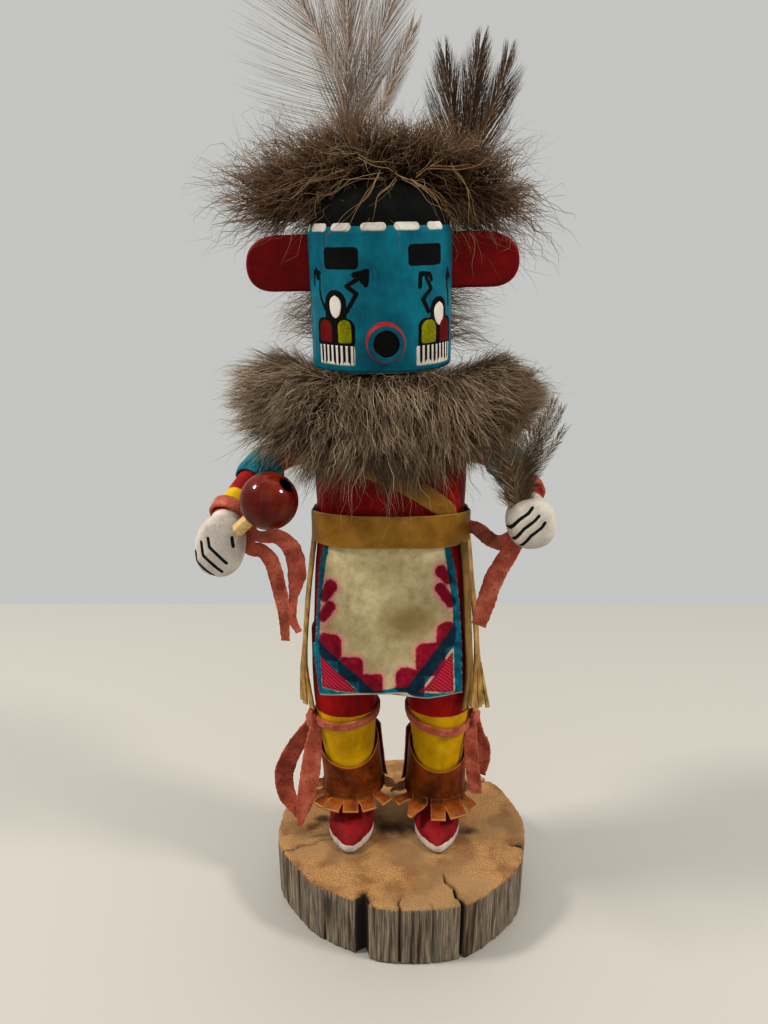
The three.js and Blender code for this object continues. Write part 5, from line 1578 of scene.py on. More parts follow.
marked = mixed(
    tree, sums(tree, "MULTIPLY", step_up(tree, stored(tree, "corner"), -0.9, 0.0), 0.55), marked,
    mixed(tree, step_up(tree, stored(tree, "corner"), 0.2, -0.1), marked, "#3c0a24"),
)
teal_dye = ramp(tree, hide, (0.3, "#033a4c"), (0.5, "#075a70"), (0.72, "#0d7689"))
over_red = mixed(tree, 0.82, teal_dye, "#0b1226")
teal_here = mixed(tree, step_up(tree, bleed, 0.4, -0.3), teal_dye, over_red)
edge_of_teal = sums(tree, "MULTIPLY_ADD", sums(tree, "SUBTRACT", nap, 0.5), 0.7, stored(tree, "teal"))
marked = mixed(tree, step_up(tree, edge_of_teal, 0.22, -0.22), marked, teal_here)
marked = mixed(tree, stored(tree, "cut"), marked, "#c9c2ac")
tree.links.new(marked, shader.inputs["Base Color"])
shader.inputs["Roughness"].default_value = 0.88
shader.inputs["Specular IOR Level"].default_value = 0.12
shader.inputs["Sheen Weight"].default_value = 0.1
relief = raised(tree, nap, 0.5, 0.15)
tree.links.new(raised(tree, hide, 0.4, 0.3, relief), shader.inputs["Normal"])
apron = tubes("apron_panel", [ring], material)
ends = [0.0, 0.0]
mark(apron, "teal", np.concatenate([(teal_marks + wander).ravel(), ends]))
mark(apron, "red", np.concatenate([(red_marks + wander).ravel(), ends]))
mark(apron, "corner", np.concatenate([(corners_red + wander * 0.6).ravel(), ends]))
smudge = np.exp(-(((uv_x - 6) / 10) ** 2) - ((uv_z - 99) / 6.5) ** 2) + 0.5 * np.exp(
    -(((uv_x + 20.5) / 3.5) ** 2) - ((uv_z - 96) / 2.5) ** 2
)
smudge += 0.35 * np.exp(-(((uv_x + 4) / 9) ** 2) - ((uv_z - 84) / 5) ** 2)
mark(apron, "smudge", np.concatenate([smudge.ravel(), ends]))
cut = np.maximum(
    (np.abs(face - 0.5) < 0.2) * 1.0, np.clip((down[:, :1] - 0.993) * 140, 0, 1) * np.ones_like(face),
)
cut = np.maximum(cut, (face < 0.1) * 1.0)
mark(apron, "cut", np.concatenate([cut.ravel(), [1.0, 1.0]]))
keep(apron, "painted_chamois", "apron")

# ---- Fur collar ----
# A strip of grey-brown rabbit pelt tied round the neck, so thick and long that it hides the shoulders.
# It is combed outwards and, in front, down over the chest, and its guard hairs gather in loose locks.
STRANDS = bpy.data.node_groups.new("strands", "GeometryNodeTree")
for name, kind in [
    ("Surface", "Geometry"),
    ("Strands", "Float"),  # per square metre
    ("Locks", "Float"),  # per square metre
    ("Seed", "Int"),
    ("Scatter", "Float"),  # how far each strand's way strays
    ("Lock Scatter", "Float"),
    ("Gather", "Float"),  # how far a strand's tip is drawn to its lock
    ("Sag", "Float"),  # drop of the tip, as a share of the length
    ("Curl", "Float"),  # in metres
    ("Thickness", "Float"),  # radius in metres
    ("Shortest", "Float"),
    ("Segments", "Int"),
    ("Finish", "Material"),
]:
    STRANDS.interface.new_socket(name, in_out="INPUT", socket_type="NodeSocket" + kind)
STRANDS.interface.new_socket("Hair", in_out="OUTPUT", socket_type="NodeSocketGeometry")
entry = add(STRANDS, "NodeGroupInput").outputs


def field(name, kind="FLOAT_VECTOR"):
    """A value stored on the points by name."""
    return add(STRANDS, "GeometryNodeInputNamedAttribute", {0: name}, data_type=kind).outputs[0]


def store(points, name, value, kind="FLOAT_VECTOR"):
    inputs = {0: points, 2: name, 3: value}
    return add(STRANDS, "GeometryNodeStoreNamedAttribute", inputs, data_type=kind, domain="POINT").outputs[0]


def blown(operation, a, b=None, c=None, scale=None):
    inputs = {k: v for k, v in ((0, a), (1, b), (2, c), (3, scale)) if v is not None}
    return add(STRANDS, "ShaderNodeVectorMath", inputs, operation=operation).outputs[0]


def chance(low, high, seed):
    """A random number on each point, or a random vector where low and high are lists."""
    number = add(STRANDS, "ShaderNodeMath", {0: entry["Seed"], 1: float(seed)}, operation="ADD").outputs[0]
    if isinstance(low, tuple):
        return add(
            STRANDS, "FunctionNodeRandomValue", {0: low, 1: high, 8: number}, data_type="FLOAT_VECTOR",
        ).outputs[0]
    return add(STRANDS, "FunctionNodeRandomValue", {2: low, 3: high, 8: number}, data_type="FLOAT").outputs[1]


ALL_WAYS = ((-1.0, -1.0, -1.0), (1.0, 1.0, 1.0))
here = add(STRANDS, "GeometryNodeInputPosition").outputs[0]
lock_seed = add(STRANDS, "ShaderNodeMath", {0: entry["Seed"], 1: 31.0}, operation="ADD").outputs[0]
locks = add(
    STRANDS, "GeometryNodeDistributePointsOnFaces",
    {0: entry["Surface"], "Density": entry["Locks"], "Seed": lock_seed},
).outputs[0]
lock_way = blown(
    "NORMALIZE",
    blown("ADD", field("way"), blown("SCALE", chance(*ALL_WAYS, 3), scale=entry["Lock Scatter"])),
)
lock_reach = sums(STRANDS, "MULTIPLY", field("reach", "FLOAT"), chance(0.7, 1.15, 4))
locks = store(locks, "lock", blown("SCALE", lock_way, scale=lock_reach))
roots = add(
    STRANDS, "GeometryNodeDistributePointsOnFaces",
    {0: entry["Surface"], "Density": entry["Strands"], "Seed": entry["Seed"]},
).outputs[0]
nearest = add(STRANDS, "GeometryNodeSampleNearest", {0: locks, 1: here}).outputs[0]
near = [
    add(
        STRANDS, "GeometryNodeSampleIndex", {0: locks, 1: value, 2: nearest}, data_type="FLOAT_VECTOR",
    ).outputs[0] for value in (here, field("lock"))
]
own = blown(
    "NORMALIZE", blown("ADD", field("way"), blown("SCALE", chance(*ALL_WAYS, 5), scale=entry["Scatter"])),
)
length = add(
    STRANDS, "ShaderNodeMapRange",
    {"Value": chance(0.0, 1.0, 6), "To Min": entry["Shortest"], "To Max": 1.1},
).outputs[0]
own_reach = sums(STRANDS, "MULTIPLY", field("reach", "FLOAT"), length)
roots = store(roots, "root", here)
roots = store(roots, "own", blown("SCALE", own, scale=own_reach))
roots = store(roots, "lock_root", near[0])
roots = store(roots, "lock", near[1])
roots = store(roots, "stray", chance(*ALL_WAYS, 8))
roots = store(roots, "tone", chance(0.0, 1.0, 9), "FLOAT")
line = add(STRANDS, "GeometryNodeCurvePrimitiveLine", {0: (0.0, 0.0, 0.0), 1: (0.0, 0.0, 0.001)}).outputs[0]
line = add(STRANDS, "GeometryNodeResampleCurve", {0: line, "Count": entry["Segments"]}).outputs[0]
hairs = add(STRANDS, "GeometryNodeInstanceOnPoints", {0: roots, 2: line}).outputs[0]
hairs = add(STRANDS, "GeometryNodeRealizeInstances", {0: hairs}).outputs[0]
along = add(STRANDS, "GeometryNodeSplineParameter").outputs[0]
hairs = store(hairs, "along", along, "FLOAT")
along = field("along", "FLOAT")
alone = blown("ADD", field("root"), blown("SCALE", field("own"), scale=along))
# Halfway to its lock's root at first, a strand closes on the lock's own line towards its tip.
together = blown("ADD", field("lock_root"), blown("SCALE", field("lock"), scale=along))
pull = sums(
    STRANDS, "MULTIPLY", sums(STRANDS, "POWER", along, 0.8),
    sums(
        STRANDS, "MULTIPLY", entry["Gather"],
        sums(STRANDS, "MULTIPLY_ADD", field("tone", "FLOAT"), -0.5, 1.15),
    ),
    clamp=True,
)
placed = add(STRANDS, "ShaderNodeMix", {0: pull, 4: alone, 5: together}, data_type="VECTOR").outputs[1]
waves = add(
    STRANDS, "ShaderNodeTexNoise",
    {
        "Vector": blown("ADD", placed, blown("SCALE", field("stray"), scale=0.004)), "Scale": 170.0,
        "Detail": 1.0,
    },
).outputs["Color"]
waves = blown(
    "SCALE", blown("SUBTRACT", waves, (0.5, 0.5, 0.5)),
    scale=sums(STRANDS, "MULTIPLY", entry["Curl"], along),
)
reach_now = add(STRANDS, "ShaderNodeVectorMath", {0: field("own")}, operation="LENGTH").outputs["Value"]
drop = sums(
    STRANDS, "MULTIPLY", sums(STRANDS, "MULTIPLY", along, along),
    sums(STRANDS, "MULTIPLY", reach_now, entry["Sag"]),
)
falling = add(STRANDS, "ShaderNodeCombineXYZ", {2: sums(STRANDS, "MULTIPLY", drop, -1.0)}).outputs[0]
bend = blown("SCALE", field("bend"), scale=sums(STRANDS, "MULTIPLY", along, along))
placed = blown("ADD", blown("ADD", blown("ADD", placed, waves), bend), falling)
hairs = add(STRANDS, "GeometryNodeSetPosition", {0: hairs, 2: placed}).outputs[0]
taper = sums(
    STRANDS, "MULTIPLY_ADD", sums(STRANDS, "POWER", sums(STRANDS, "SUBTRACT", 1.0, along), 0.6), 0.9, 0.1,
)
ring = add(STRANDS, "GeometryNodeCurvePrimitiveCircle", {"Resolution": 3, "Radius": 1.0}).outputs[0]
width = sums(
    STRANDS, "MULTIPLY", taper,
    sums(
        STRANDS, "MULTIPLY", entry["Thickness"],
        sums(STRANDS, "MULTIPLY_ADD", field("tone", "FLOAT"), 0.6, 0.7),
    ),
)
body = add(STRANDS, "GeometryNodeCurveToMesh", {0: hairs, 1: ring, 2: width, 3: True}).outputs[0]
for name in ("root", "own", "lock_root", "lock", "stray", "way", "reach", "bend"):
    body = add(STRANDS, "GeometryNodeRemoveAttribute", {0: body, 1: name}).outputs[0]
body = add(STRANDS, "GeometryNodeSetShadeSmooth", {0: body, 2: True}).outputs[0]
body = add(STRANDS, "GeometryNodeSetMaterial", {0: body, 2: entry["Finish"]}).outputs[0]
STRANDS.links.new(body, add(STRANDS, "NodeGroupOutput").inputs[0])


def grown(name, surface, **settings):
    """The strands that a surface grows, as a plain mesh."""
    nodes = surface.modifiers.new("strands", "NODES")
    nodes.node_group = STRANDS
    for item in STRANDS.interface.items_tree:
        key = item.name.lower().replace(" ", "_")
        if item.in_out == "INPUT" and key in settings:
            nodes[item.identifier] = settings[key]
    surface.update_tag()
    graph = bpy.context.evaluated_depsgraph_get()
    mesh = bpy.data.meshes.new_from_object(surface.evaluated_get(graph), depsgraph=graph)
    surface.modifiers.remove(nodes)
    made = bpy.data.objects.new(name, mesh)
    scene.collection.objects.link(made)
    return made


def growing(grid, ways, reach, warm=0.0, bend=None, loop=True):
    """A growth surface from rows x columns of points, with its stored fields. loop closes it both ways."""
    rows, columns = grid.shape[:2]
    i, j = np.meshgrid(np.arange(rows - (not loop)), np.arange(columns - (not loop)), indexing="ij")
    corners = [(i, j), (i, j + 1), (i + 1, j + 1), (i + 1, j)]
    faces = np.stack([(a % rows) * columns + b % columns for a, b in corners], -1).reshape(-1, 4)
    surface = shape("growth", grid.reshape(-1, 3), faces, plain_wool)
    vectors = [("way", unit(ways))] + ([] if bend is None else [("bend", bend * MM)])
    for name, values in vectors:
        layer = surface.data.attributes.new(name, "FLOAT_VECTOR", "POINT")
        layer.data.foreach_set("vector", values.astype(np.float32).ravel())
    mark(surface, "reach", np.broadcast_to(reach, grid.shape[:2]) * MM)
    mark(surface, "warm", np.broadcast_to(warm, grid.shape[:2]).astype(float))
    return surface


def normals_of(grid):
    """Unit normals of a grid, out from the middle of its rows."""
    found = unit(np.cross(np.gradient(grid, axis=0), np.gradient(grid, axis=1)))
    middle = grid.mean(1, keepdims=True)
    return found * np.sign(np.sum(found * (grid - middle)))


def fur_finish(name, root, middle, tip, warm, pale):
    """Hair: dark at the root and paler at the tip, each strand a little different from the next, with painted
    shade in broad hollows.
    """
    material, tree, shader = finish_named(name)
    where = add(tree, "ShaderNodeTexCoord").outputs["Object"]
    patches = noise_at(tree, where, 8, detail=2.0)
    painted_hollow_shade = noise_at(tree, where, 5, detail=2.0, shift=6.0)
    colour = ramp(tree, stored(tree, "along"), (0.0, root), (0.35, middle), (1.0, tip))
    warmth = sums(tree, "MULTIPLY_ADD", sums(tree, "SUBTRACT", patches, 0.5), 2.2, stored(tree, "warm"), True)
    colour = mixed(tree, sums(tree, "MULTIPLY", warmth, 0.75), colour, warm, "MIX")
    colour = mixed(
        tree, sums(tree, "MULTIPLY", step_up(tree, stored(tree, "tone"), 0.6, 1.0), 0.75), colour, pale,
    )
    colour = mixed(
        tree, sums(tree, "MULTIPLY", step_up(tree, stored(tree, "tone"), 0.35, 0.0), 0.6), colour, root,
    )
    # Painted shade: broad patches darken towards the root colour, as shade in the fur's hollows.
    colour = mixed(tree, sums(tree, "MULTIPLY", step_up(tree, painted_hollow_shade, 0.47, 0.33), 0.6), colour, root)
    tree.links.new(colour, shader.inputs["Base Color"])
    shader.inputs["Roughness"].default_value = 0.5
    shader.inputs["Specular IOR Level"].default_value = 0.3
    return material


plain_wool, tree, shader = finish_named("matted_underwool")
where = add(tree, "ShaderNodeTexCoord").outputs["Object"]
wool = noise_at(tree, where, 0.8, (1, 1, 2), 4.0, 0.7)
tree.links.new(
    ramp(tree, wool, (0.35, "#231b13"), (0.6, "#3b3024"), (0.75, "#524535")), shader.inputs["Base Color"],
)
shader.inputs["Roughness"].default_value = 0.9
shader.inputs["Specular IOR Level"].default_value = 0.1
tree.links.new(raised(tree, wool, 1.0, 0.5), shader.inputs["Normal"])
guard_hair = fur_finish("rabbit_guard_hair", "#34281d", "#73624f", "#9c8a74", "#79583a", "#bba991")

RUFF_WIDTH, RUFF_DEPTH = 32.0, 17.5


def ruff(bearing, turn):
    """The pelt's form: bearing goes round the neck, turn round the roll of fur."""
    fore, side, rear = np.maximum(
        0, -np.sin(bearing),
    ), np.abs(np.cos(bearing)), np.maximum(0, np.sin(bearing))
    lump = 1.4 * grain(np.stack([bearing * 9, turn * 5, 0 * turn], -1), 5.0, 2.0)
    outer = np.cos(turn)
    thick = np.where(outer > 0, 6.6 + 0.4 * side, 11 + 5 * side) + lump
    centre_z = 168.0 - 6.0 * fore - 3.5 * rear
    return np.stack(
        [
            (RUFF_WIDTH + thick * outer) * np.cos(bearing),
            (RUFF_DEPTH + thick * outer) * np.sin(bearing) - 1.5,
            centre_z + (8.0 + 3.6 * fore + lump) * np.sin(turn) - 1.5 * np.maximum(0, outer),
        ],
        -1,
    )


undercoat = tubes(
    "fur_undercoat", [ruff(*np.meshgrid(circle(150), circle(46), indexing="ij"))], plain_wool, hoop=True,
)
keep(undercoat, "rabbit_fur", "fur_ruff")
# Hair grows on the roll's outer side only: its inner side is against the neck.
bearing, turn = np.meshgrid(
    np.linspace(0, 2 * math.pi, 161), np.linspace(-0.66, 0.66, 36) * math.pi, indexing="ij",
)
fore, side, rear = np.maximum(0, -np.sin(bearing)), np.abs(np.cos(bearing)), np.maximum(0, np.sin(bearing))
under, outer = np.maximum(0, -np.sin(turn)), np.cos(turn)
pelt = ruff(bearing, turn)
outward = unit(np.stack([np.cos(bearing) * 1.2, np.sin(bearing), 0 * bearing], -1))
drop = 0.12 + 0.85 * fore**2.6 - 0.4 * rear - 0.1 * side
combed = outward * (
    0.5 + 0.6 * side + 0.2 * rear
)[..., None] - (0, 0, 1) * drop[..., None] + normals_of(pelt) * 0.45
tangle = np.stack([grain(pelt, 7.0, seed) for seed in (1.0, 20.0, 40.0)], -1)
combed = unit(combed) + 0.6 * tangle
swirl = 5.5 * np.stack([grain(pelt, 10.0, seed) for seed in (5.0, 25.0, 45.0)], -1)
reach = 13.5 + 1.8 * fore + 3.0 * grain(np.stack([bearing * 12, turn * 3, 0 * turn], -1), 6.0, 4.0)
reach = reach * (1 - 0.45 * under * (1 - 0.55 * fore)) * (1 - 0.6 * np.clip(-outer - 0.1, 0, 1))
warm = np.clip(0.2 + 0.35 * np.cos(bearing) + 0.35 * under, 0, 1)
surface = growing(pelt, combed, reach, warm, swirl, False)
# Strands and locks a square metre, thickness, scatter, scatter of the locks, gather, curl, shortest.
COATS = [
    (0.88e6, 8e4, 0.00012, 0.35, 0.3, 0.55, 0.006, 0.45),
    (0.88e6, 3e4, 0.00011, 0.35, 0.45, 0.7, 0.008, 0.5),
    (0.84e6, 1.4e5, 0.00009, 0.75, 0.4, 0.2, 0.012, 0.55),
]
for number, (strands, locks, thickness, scatter, stray, gather, curl, shortest) in enumerate(COATS):
    coat = grown(
        f"fur_coat_{number + 1}", surface, strands=strands, locks=locks, seed=11 + number, scatter=scatter,
        lock_scatter=stray, gather=gather, sag=0.16, curl=curl, thickness=thickness, shortest=shortest,
        segments=5, finish=guard_hair,
    )
    keep(coat, "rabbit_fur", "fur_ruff")
# A few long guard hairs stand clear of the rest and hang over the chest.
surface_far = growing(pelt, combed, 22 - 3 * side - 4 * under * side, warm, swirl * 1.4, False)
wisps = grown(
    "fur_long_hairs", surface_far, strands=1.2e5, locks=3e4, seed=17, scatter=0.5, lock_scatter=0.5,
    gather=0.3, sag=0.3, curl=0.012, thickness=0.0001, shortest=0.5, segments=8, finish=guard_hair,
)
keep(wisps, "rabbit_fur", "fur_ruff")
for one in (surface, surface_far):
    bpy.data.objects.remove(one)

# ---- Crest of down ----
# Brown down feathers are glued round the top of the helmet in a thick mop. Its front leaves the black
# forehead bare, but for a few long golden-brown strands that have fallen over it.
CREST = (-2.5, -1.0, 229.5)
level, turn = np.meshgrid(np.linspace(-0.5, 0.5, 40) * math.pi * 0.97, circle(110), indexing="ij")
round_x, round_y, round_z = np.cos(level) * np.cos(turn), np.cos(level) * np.sin(turn), np.sin(level)
lump = 1 + 0.09 * grain(np.stack([round_x, round_y, round_z], -1) * 10, 4.5, 3.0)
x = 35 * round_x * lump
sink = 9.5 * (np.abs(x) / 40) ** 2.2
tall = np.where(round_z > 0, 8.5, 6.0)
crest_form = np.stack(
    [CREST[0] + x, CREST[1] + 18.5 * round_y * lump, CREST[2] + tall * round_z * lump - sink], -1,
)
down_fibre = fur_finish("brown_down_barbs", "#24170e", "#523b29", "#80654b", "#6f4c30", "#a08a70")
dark_wool, tree, shader = finish_named("matted_brown_down")
where = add(tree, "ShaderNodeTexCoord").outputs["Object"]
wool = noise_at(tree, where, 0.9, (1, 1, 1), 4.0, 0.7)
tree.links.new(
    ramp(tree, wool, (0.35, "#160e08"), (0.6, "#2e2013"), (0.75, "#453220")), shader.inputs["Base Color"],
)
shader.inputs["Roughness"].default_value = 0.95
shader.inputs["Specular IOR Level"].default_value = 0.05
tree.links.new(raised(tree, wool, 1.0, 0.6), shader.inputs["Normal"])
mop = tubes("crest_undercoat", [crest_form], dark_wool)
keep(mop, "brown_down", "crest_down")
outward = unit(np.stack([round_x, round_y * 0.9, round_z * 0.4], -1))
lift = np.zeros_like(outward)
lift[..., 2] = 0.55 - 0.9 * np.clip(-round_z, 0, 1) + 0.3 * round_y
tangle = np.stack([grain(crest_form, 7.0, seed) for seed in (3.0, 23.0, 43.0)], -1)
puffed = unit(outward + lift + 1.1 * tangle)
face_on = np.clip(-round_y - 0.45, 0, 1) * np.clip(0.2 - round_z, 0, 1)
uneven = 1 + 0.45 * grain(crest_form, 8.0, 9.0) - 0.9 * np.clip(face_on * 2, 0, 1)
surface = growing(crest_form, puffed, (10.5 + 5 * np.abs(round_x)) * uneven, 0.25, loop=False)
for number, (strands, locks, thickness, scatter, stray, gather, curl, shortest) in enumerate(
    [(0.82e6, 7e4, 0.00012, 0.5, 0.6, 0.8, 0.008, 0.4), (0.5e6, 2.4e4, 0.0001, 0.7, 1.0, 0.6, 0.02, 0.6)]
):
    tufts = grown(
        f"crest_down_{number + 1}", surface, strands=strands, locks=locks, seed=21 + number,
        scatter=scatter, lock_scatter=stray, gather=gather, sag=0.15, curl=curl, thickness=thickness,
        shortest=shortest, segments=6 + number, finish=down_fibre,
    )
    keep(tufts, "brown_down", "crest_down")
    values = surface.data.attributes["reach"].data
    longer = np.zeros(len(values))
    values.foreach_get("value", longer)
    values.foreach_set("value", longer * 1.5)
# Long barbs that have come loose stand out at the sides, and hang over the mask and the ears.
loose_way = unit(
    outward * (0.5, 0.4, 0.2)
    + np.stack([np.sign(x) * 0.8, -0.1 + 0 * x, -0.25 + 0.55 * grain(crest_form, 12.0, 4.0)], -1)
    + 0.5 * tangle
)
surface_far = growing(crest_form, loose_way, 25 + 8 * grain(crest_form, 6.0, 5.0), 0.6, loop=False)
wisps = grown(
    "crest_loose_barbs", surface_far, strands=1.5e5, locks=4e4, seed=31, scatter=0.5, lock_scatter=0.5,
    gather=0.4, sag=0.35, curl=0.016, thickness=0.00012, shortest=0.35, segments=9, finish=down_fibre,
)
keep(wisps, "brown_down", "crest_down")
# At the back the down hangs thin and loose over the nape, and shows on both sides below the ears.
side_x, high = np.meshgrid(np.linspace(-1, 1, 40), np.linspace(0, 1, 24), indexing="ij")
nape = np.stack([-2.5 + 19 * side_x, 12 + 5 * (1 - side_x**2), 183 + 22 * high], -1)
spread = np.stack([1.1 * np.sign(side_x), 0.35 + 0 * high, 0.5 - 1.1 * high], -1)
spread = unit(spread + 0.7 * np.stack([grain(nape, 6.0, seed) for seed in (2.0, 12.0, 32.0)], -1))
surface_nape = growing(nape, spread, 8 + 17 * np.abs(side_x), 0.4, loop=False)
fluff = grown(
    "crest_down_behind", surface_nape, strands=2.0e6, locks=1e5, seed=35, scatter=0.7, lock_scatter=0.6,
    gather=0.5, sag=0.2, curl=0.016, thickness=0.00009, shortest=0.4, segments=6,
    finish=fur_finish("pale_down_barbs", "#5b4c3c", "#8a7a68", "#a39482", "#7d6850", "#b5a896"),
)
keep(fluff, "brown_down", "crest_down")
bpy.data.objects.remove(surface_nape)
for one in (surface, surface_far):
    bpy.data.objects.remove(one)


# A few stout golden-brown barbs have fallen forward over the forehead and round to the sides.
FALLEN = [
    [
        (-12.6, -24, 226.8), (-16.4, -27, 225.1), (-25.6, -25, 222.9), (-32.9, -21, 221.2),
        (-38.3, -17, 219.7),
    ],
    [(-2.5, -24, 225.8), (-12.5, -27, 223.9), (-16.8, -26, 221.1), (-24.5, -24, 219.8), (-30.8, -20, 215)],
    [(-3.3, -24, 226.3), (-7, -27, 219.2), (-12.6, -26, 213.9), (-16.2, -25, 210.7), (-17.6, -25, 207.9)],
    [(1, -24, 225.6), (-3.3, -27, 219.9), (-9.2, -26, 212.8)],
    [(1, -24, 226.3), (7.8, -27, 222.4), (14.1, -25, 218.1), (17.9, -23, 214.2), (19.7, -22, 210.2)],
    [(5.3, -24, 224.6), (9.7, -27, 220.7), (13.3, -25, 217.1), (17.9, -23, 211.8)],
    [(9.7, -26, 227.3), (21, -24, 228.6), (29.2, -20, 231.4), (33.3, -16, 233.9)],
    [(6.3, -24, 225.8), (15.1, -20, 232.9), (26.1, -16, 237.3), (38.4, -12, 237.6)],
    [(-9.1, -24, 231.1), (-0.6, -27, 227.8), (2.5, -27, 226.6)],
    [(16, -22, 229), (21, -21, 222), (24, -18, 212), (25, -15, 203)],
]
golden = fur_finish("golden_brown_barbs", "#4b3520", "#705636", "#8a7350", "#7a5c34", "#a08a62")
strands = []
for number, points in enumerate(FALLEN):
    for twin in range(3):
        path = through(points, 40)
        share = np.linspace(0, 1, 40)
        stray = np.stack([grain(path, 9.0, 7.0 * number + 3.1 * twin + k) for k in range(3)], -1)
        path = path + stray * (0.8 + 4.2 * share[:, None]) + (0, -0.3 * twin, 0.5 * twin - 0.5)
        strands.append(
            pipe(
                path[: 40 - 5 * twin], (0.15 - 0.10 * share[: 40 - 5 * twin]) * (1, 0.8, 0.6)[twin], 5,
                (0.0, -1.0, 0.1),
            )
        )
fallen = tubes("crest_fallen_barbs", strands, golden)
mark(fallen, "along", np.full(len(fallen.data.vertices), 0.7))
mark(
    fallen, "tone",
    np.concatenate(
        [np.full(rings.shape[0] * rings.shape[1] + 2, (0.37 * i) % 1) for i, rings in enumerate(strands)]
    ),
)
mark(fallen, "warm", np.full(len(fallen.data.vertices), 0.3))
keep(fallen, "brown_down", "crest_down")


# ---- Crest feathers ----
# Two bunches of soft feathers stand up out of the crest: a tall pale one over the right of the head
# and a shorter, darker one over the left. Their barbs stand apart, so that light shows through them.
def feathered(
    name, quills, finish, strands, thickness, gather, curl=0.004, seed=41, locks=4e6, quill=0.32,
    stiff=0.22, stray=0.12,
):
    """Feathers as quills with barbs. Each quill: its points, then the lengths and angles of its barbs."""
    parts = []
    stems = []
    for number, (points, reaches, bearings, warm) in enumerate(quills):
        path = through(points, 60)
        share = np.linspace(0, 1, 60)
        ahead = unit(np.gradient(path, axis=0))
        look = np.array([0.0, -1.0, 0.0])
        across = unit(np.cross(ahead, look))
        for side, lengths, angles in zip((-1, 1), reaches, bearings):
            reach = np.interp(share, np.linspace(0, 1, len(lengths)), lengths)
            angle = np.radians(np.interp(share, np.linspace(0, 1, len(angles)), angles))
            # A strip along the quill, only as wide as the quill, from which this side's barbs grow.
            grid = np.stack([path + across * side * 0.1, path + across * side * 0.35], 1)
            jitter = np.stack([grain(path, 2.5, 5.0 * k + number + side) for k in range(3)], -1) * stray
            way = ahead * np.cos(angle)[:, None] + across * side * np.sin(angle)[:, None] + jitter
            ways = np.stack([way, way], 1)
            bend = ahead * (reach * stiff * np.sin(angle))[:, None] + np.array([0, 1.0, 0]) * (
                reach * 0.06 * (number % 3 - 1)
            )[:, None]
            piece = growing(
                grid, ways, reach[:, None] + 0 * grid[..., 0], warm, np.stack([bend, bend], 1), False,
            )
            barbs = grown(
                "barbs", piece, strands=strands, locks=locks, seed=seed + 2 * number + (side + 1) // 2,
                scatter=stray * 0.8, lock_scatter=stray, gather=gather, sag=0.0, curl=curl,
                thickness=thickness, shortest=0.72, segments=7, finish=finish,
            )
            bpy.data.objects.remove(piece)
            parts.append(barbs)
        stems.append(pipe(path, quill * (1.05 - 0.85 * share), 6, (0.0, -1.0, 0.0)))
    shafts = tubes(name + "_quills", stems, finish)
    mark(shafts, "along", np.full(len(shafts.data.vertices), 0.7))
    mark(shafts, "tone", np.full(len(shafts.data.vertices), 0.6))
    mark(shafts, "warm", np.full(len(shafts.data.vertices), 0.7))
    made = joined(*parts)
    made.name = name
    return made, shafts


pale_barbs = fur_finish("grey_brown_barbs", "#8c7c6e", "#aba097", "#988d84", "#b79c85", "#7a6c62")
dark_barbs = fur_finish("dark_brown_barbs", "#4a3524", "#65503e", "#41342a", "#7d6044", "#33281f")
fan, fan_quills = feathered(
    "fan_feathers",
    [  # points of the quill, lengths of the barbs on its right and left, and their angles from it
        (
            [
                (-13, -1.5, 238), (-13.8, -1.5, 247.8), (-15.6, -1.7, 255.8),
                (-20, -1.8, 266.4), (-27, -2, 279),
            ],
            ([25, 30, 30, 26, 15], [20, 25, 24, 18, 12]),
            ([80, 72, 50, 30, 12], [28, 24, 20, 14, 10]),
            0.35,
        ),
        (
            [(-12.4, -0.9, 238), (-12.4, -1, 248.5), (-12.6, -1, 262.6), (-12.9, -1, 284)],
            ([24, 28, 26, 20, 12], [24, 28, 26, 20, 12]),
            ([30, 24, 18, 13, 9], [28, 22, 18, 13, 9]),
            0.2,
        ),
        (
            [(-11.4, -0.3, 238), (-10.4, -0.3, 248.2), (-5.7, -0.1, 262.9), (1.4, 0, 282)],
            ([20, 24, 22, 16, 12], [18, 24, 22, 16, 12]),
            ([26, 22, 18, 14, 10], [26, 22, 18, 14, 10]),
            0.25,
        ),
        (
            [(-7, -1.6, 236), (-4.5, -1.6, 245.9), (0.7, -2.1, 258.3), (6, -2.6, 270.3)],
            ([9, 12, 10, 5], [9, 12, 10, 5]),
            ([26, 20, 16, 10], [26, 20, 16, 10]),
            0.9,
        ),
    ],
    pale_barbs,
    1.15e7,
    0.00008,
    0.2,
    curl=0.002,
    stiff=0.06,
    stray=0.045,
)
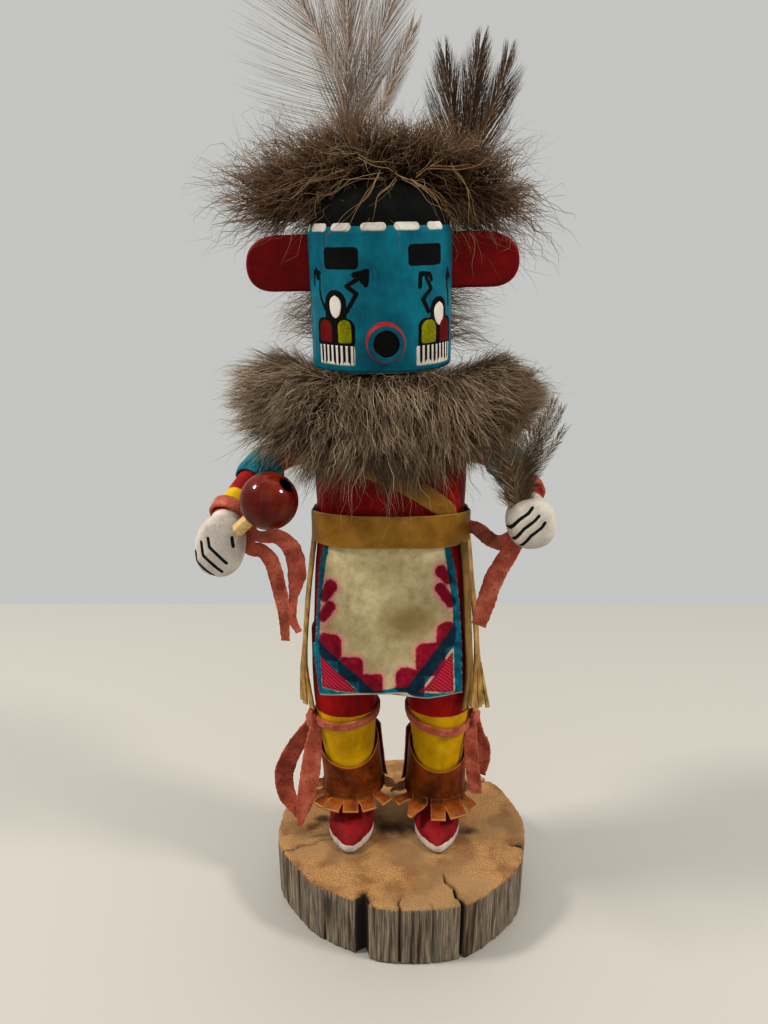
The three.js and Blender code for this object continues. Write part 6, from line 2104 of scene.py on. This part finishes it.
tuft, tuft_quills = feathered(
    "tuft_feathers",
    [
        (
            [(19.4, 2.6, 228), (18.9, 2.5, 241), (17.2, 2.2, 254.4), (15.6, 2, 264)],
            ([24, 22, 14, 7], [20, 20, 13, 7]), ([24, 20, 14, 8], [14, 13, 11, 8]), 0.4,
        ),
        (
            [(21, 2.8, 228), (22.6, 2.8, 240.9), (24.1, 2.6, 254.6), (25.8, 2.5, 267)],
            ([24, 23, 15, 7], [24, 23, 15, 7]), ([15, 13, 11, 8], [15, 13, 11, 8]), 0.2,
        ),
        (
            [(23, 2.4, 228), (26.4, 2.2, 242.1), (31.2, 2, 254.3), (33.6, 1.8, 263.6)],
            ([20, 20, 13, 7], [24, 22, 14, 7]), ([14, 13, 11, 8], [22, 18, 13, 8]), 0.3,
        ),
    ],
    dark_barbs, 1.7e7, 0.0001, 0.3, curl=0.003, seed=61, stiff=0.06, stray=0.07,
)
for made in (fan, fan_quills):
    keep(made, "grey_feather", "crest_fan_feather")
for made in (tuft, tuft_quills):
    keep(made, "brown_down", "crest_tuft_feather")

# ---- Feathers in the left hand ----
# A bunch of small mottled body feathers, their fluffy feet bound in a hole through the fist.
hand_barbs = fur_finish("mottled_brown_barbs", "#4c3b2a", "#66543f", "#4d463c", "#7b6140", "#a89a86")
PLUMES = [  # tip, longest barb, how warm its brown is
    ((26.4, -35.4, 155), 7.2, 0.2), ((29.4, -37, 158.6), 7.0, 0.6), ((33.2, -36.8, 160.4), 7.0, 0.3),
    ((37.6, -35.4, 159.4), 6.8, 0.6), ((40.6, -34, 162), 5.0, 0.2), ((43.8, -33.4, 167), 4.6, 0.4),
    ((47.2, -32, 159.2), 3.6, 0.2), ((46.8, -29.6, 164.6), 3.6, 0.3),
]
quills = []
for tip, barb, warm in PLUMES:
    foot, end = np.array([35.5, -30.2, 136.0]), np.array(tip)
    across = (end - foot) * (1, 1, 0)
    points = [
        foot, foot + (end - foot) * 0.4 - across * 0.12, foot + (end - foot) * 0.75 - across * 0.04, end,
    ]
    quills.append((points, ([barb, barb, barb * 0.8, 2.4],) * 2, ([50, 40, 30, 16],) * 2, warm))
bunch, bunch_quills = feathered(
    "feather_bunch", quills, hand_barbs, 1.5e7, 0.00009, 0.25, 0.002, 81, quill=0.24,
)
for made in (bunch, bunch_quills):
    keep(made, "grey_feather", "hand_feathers")
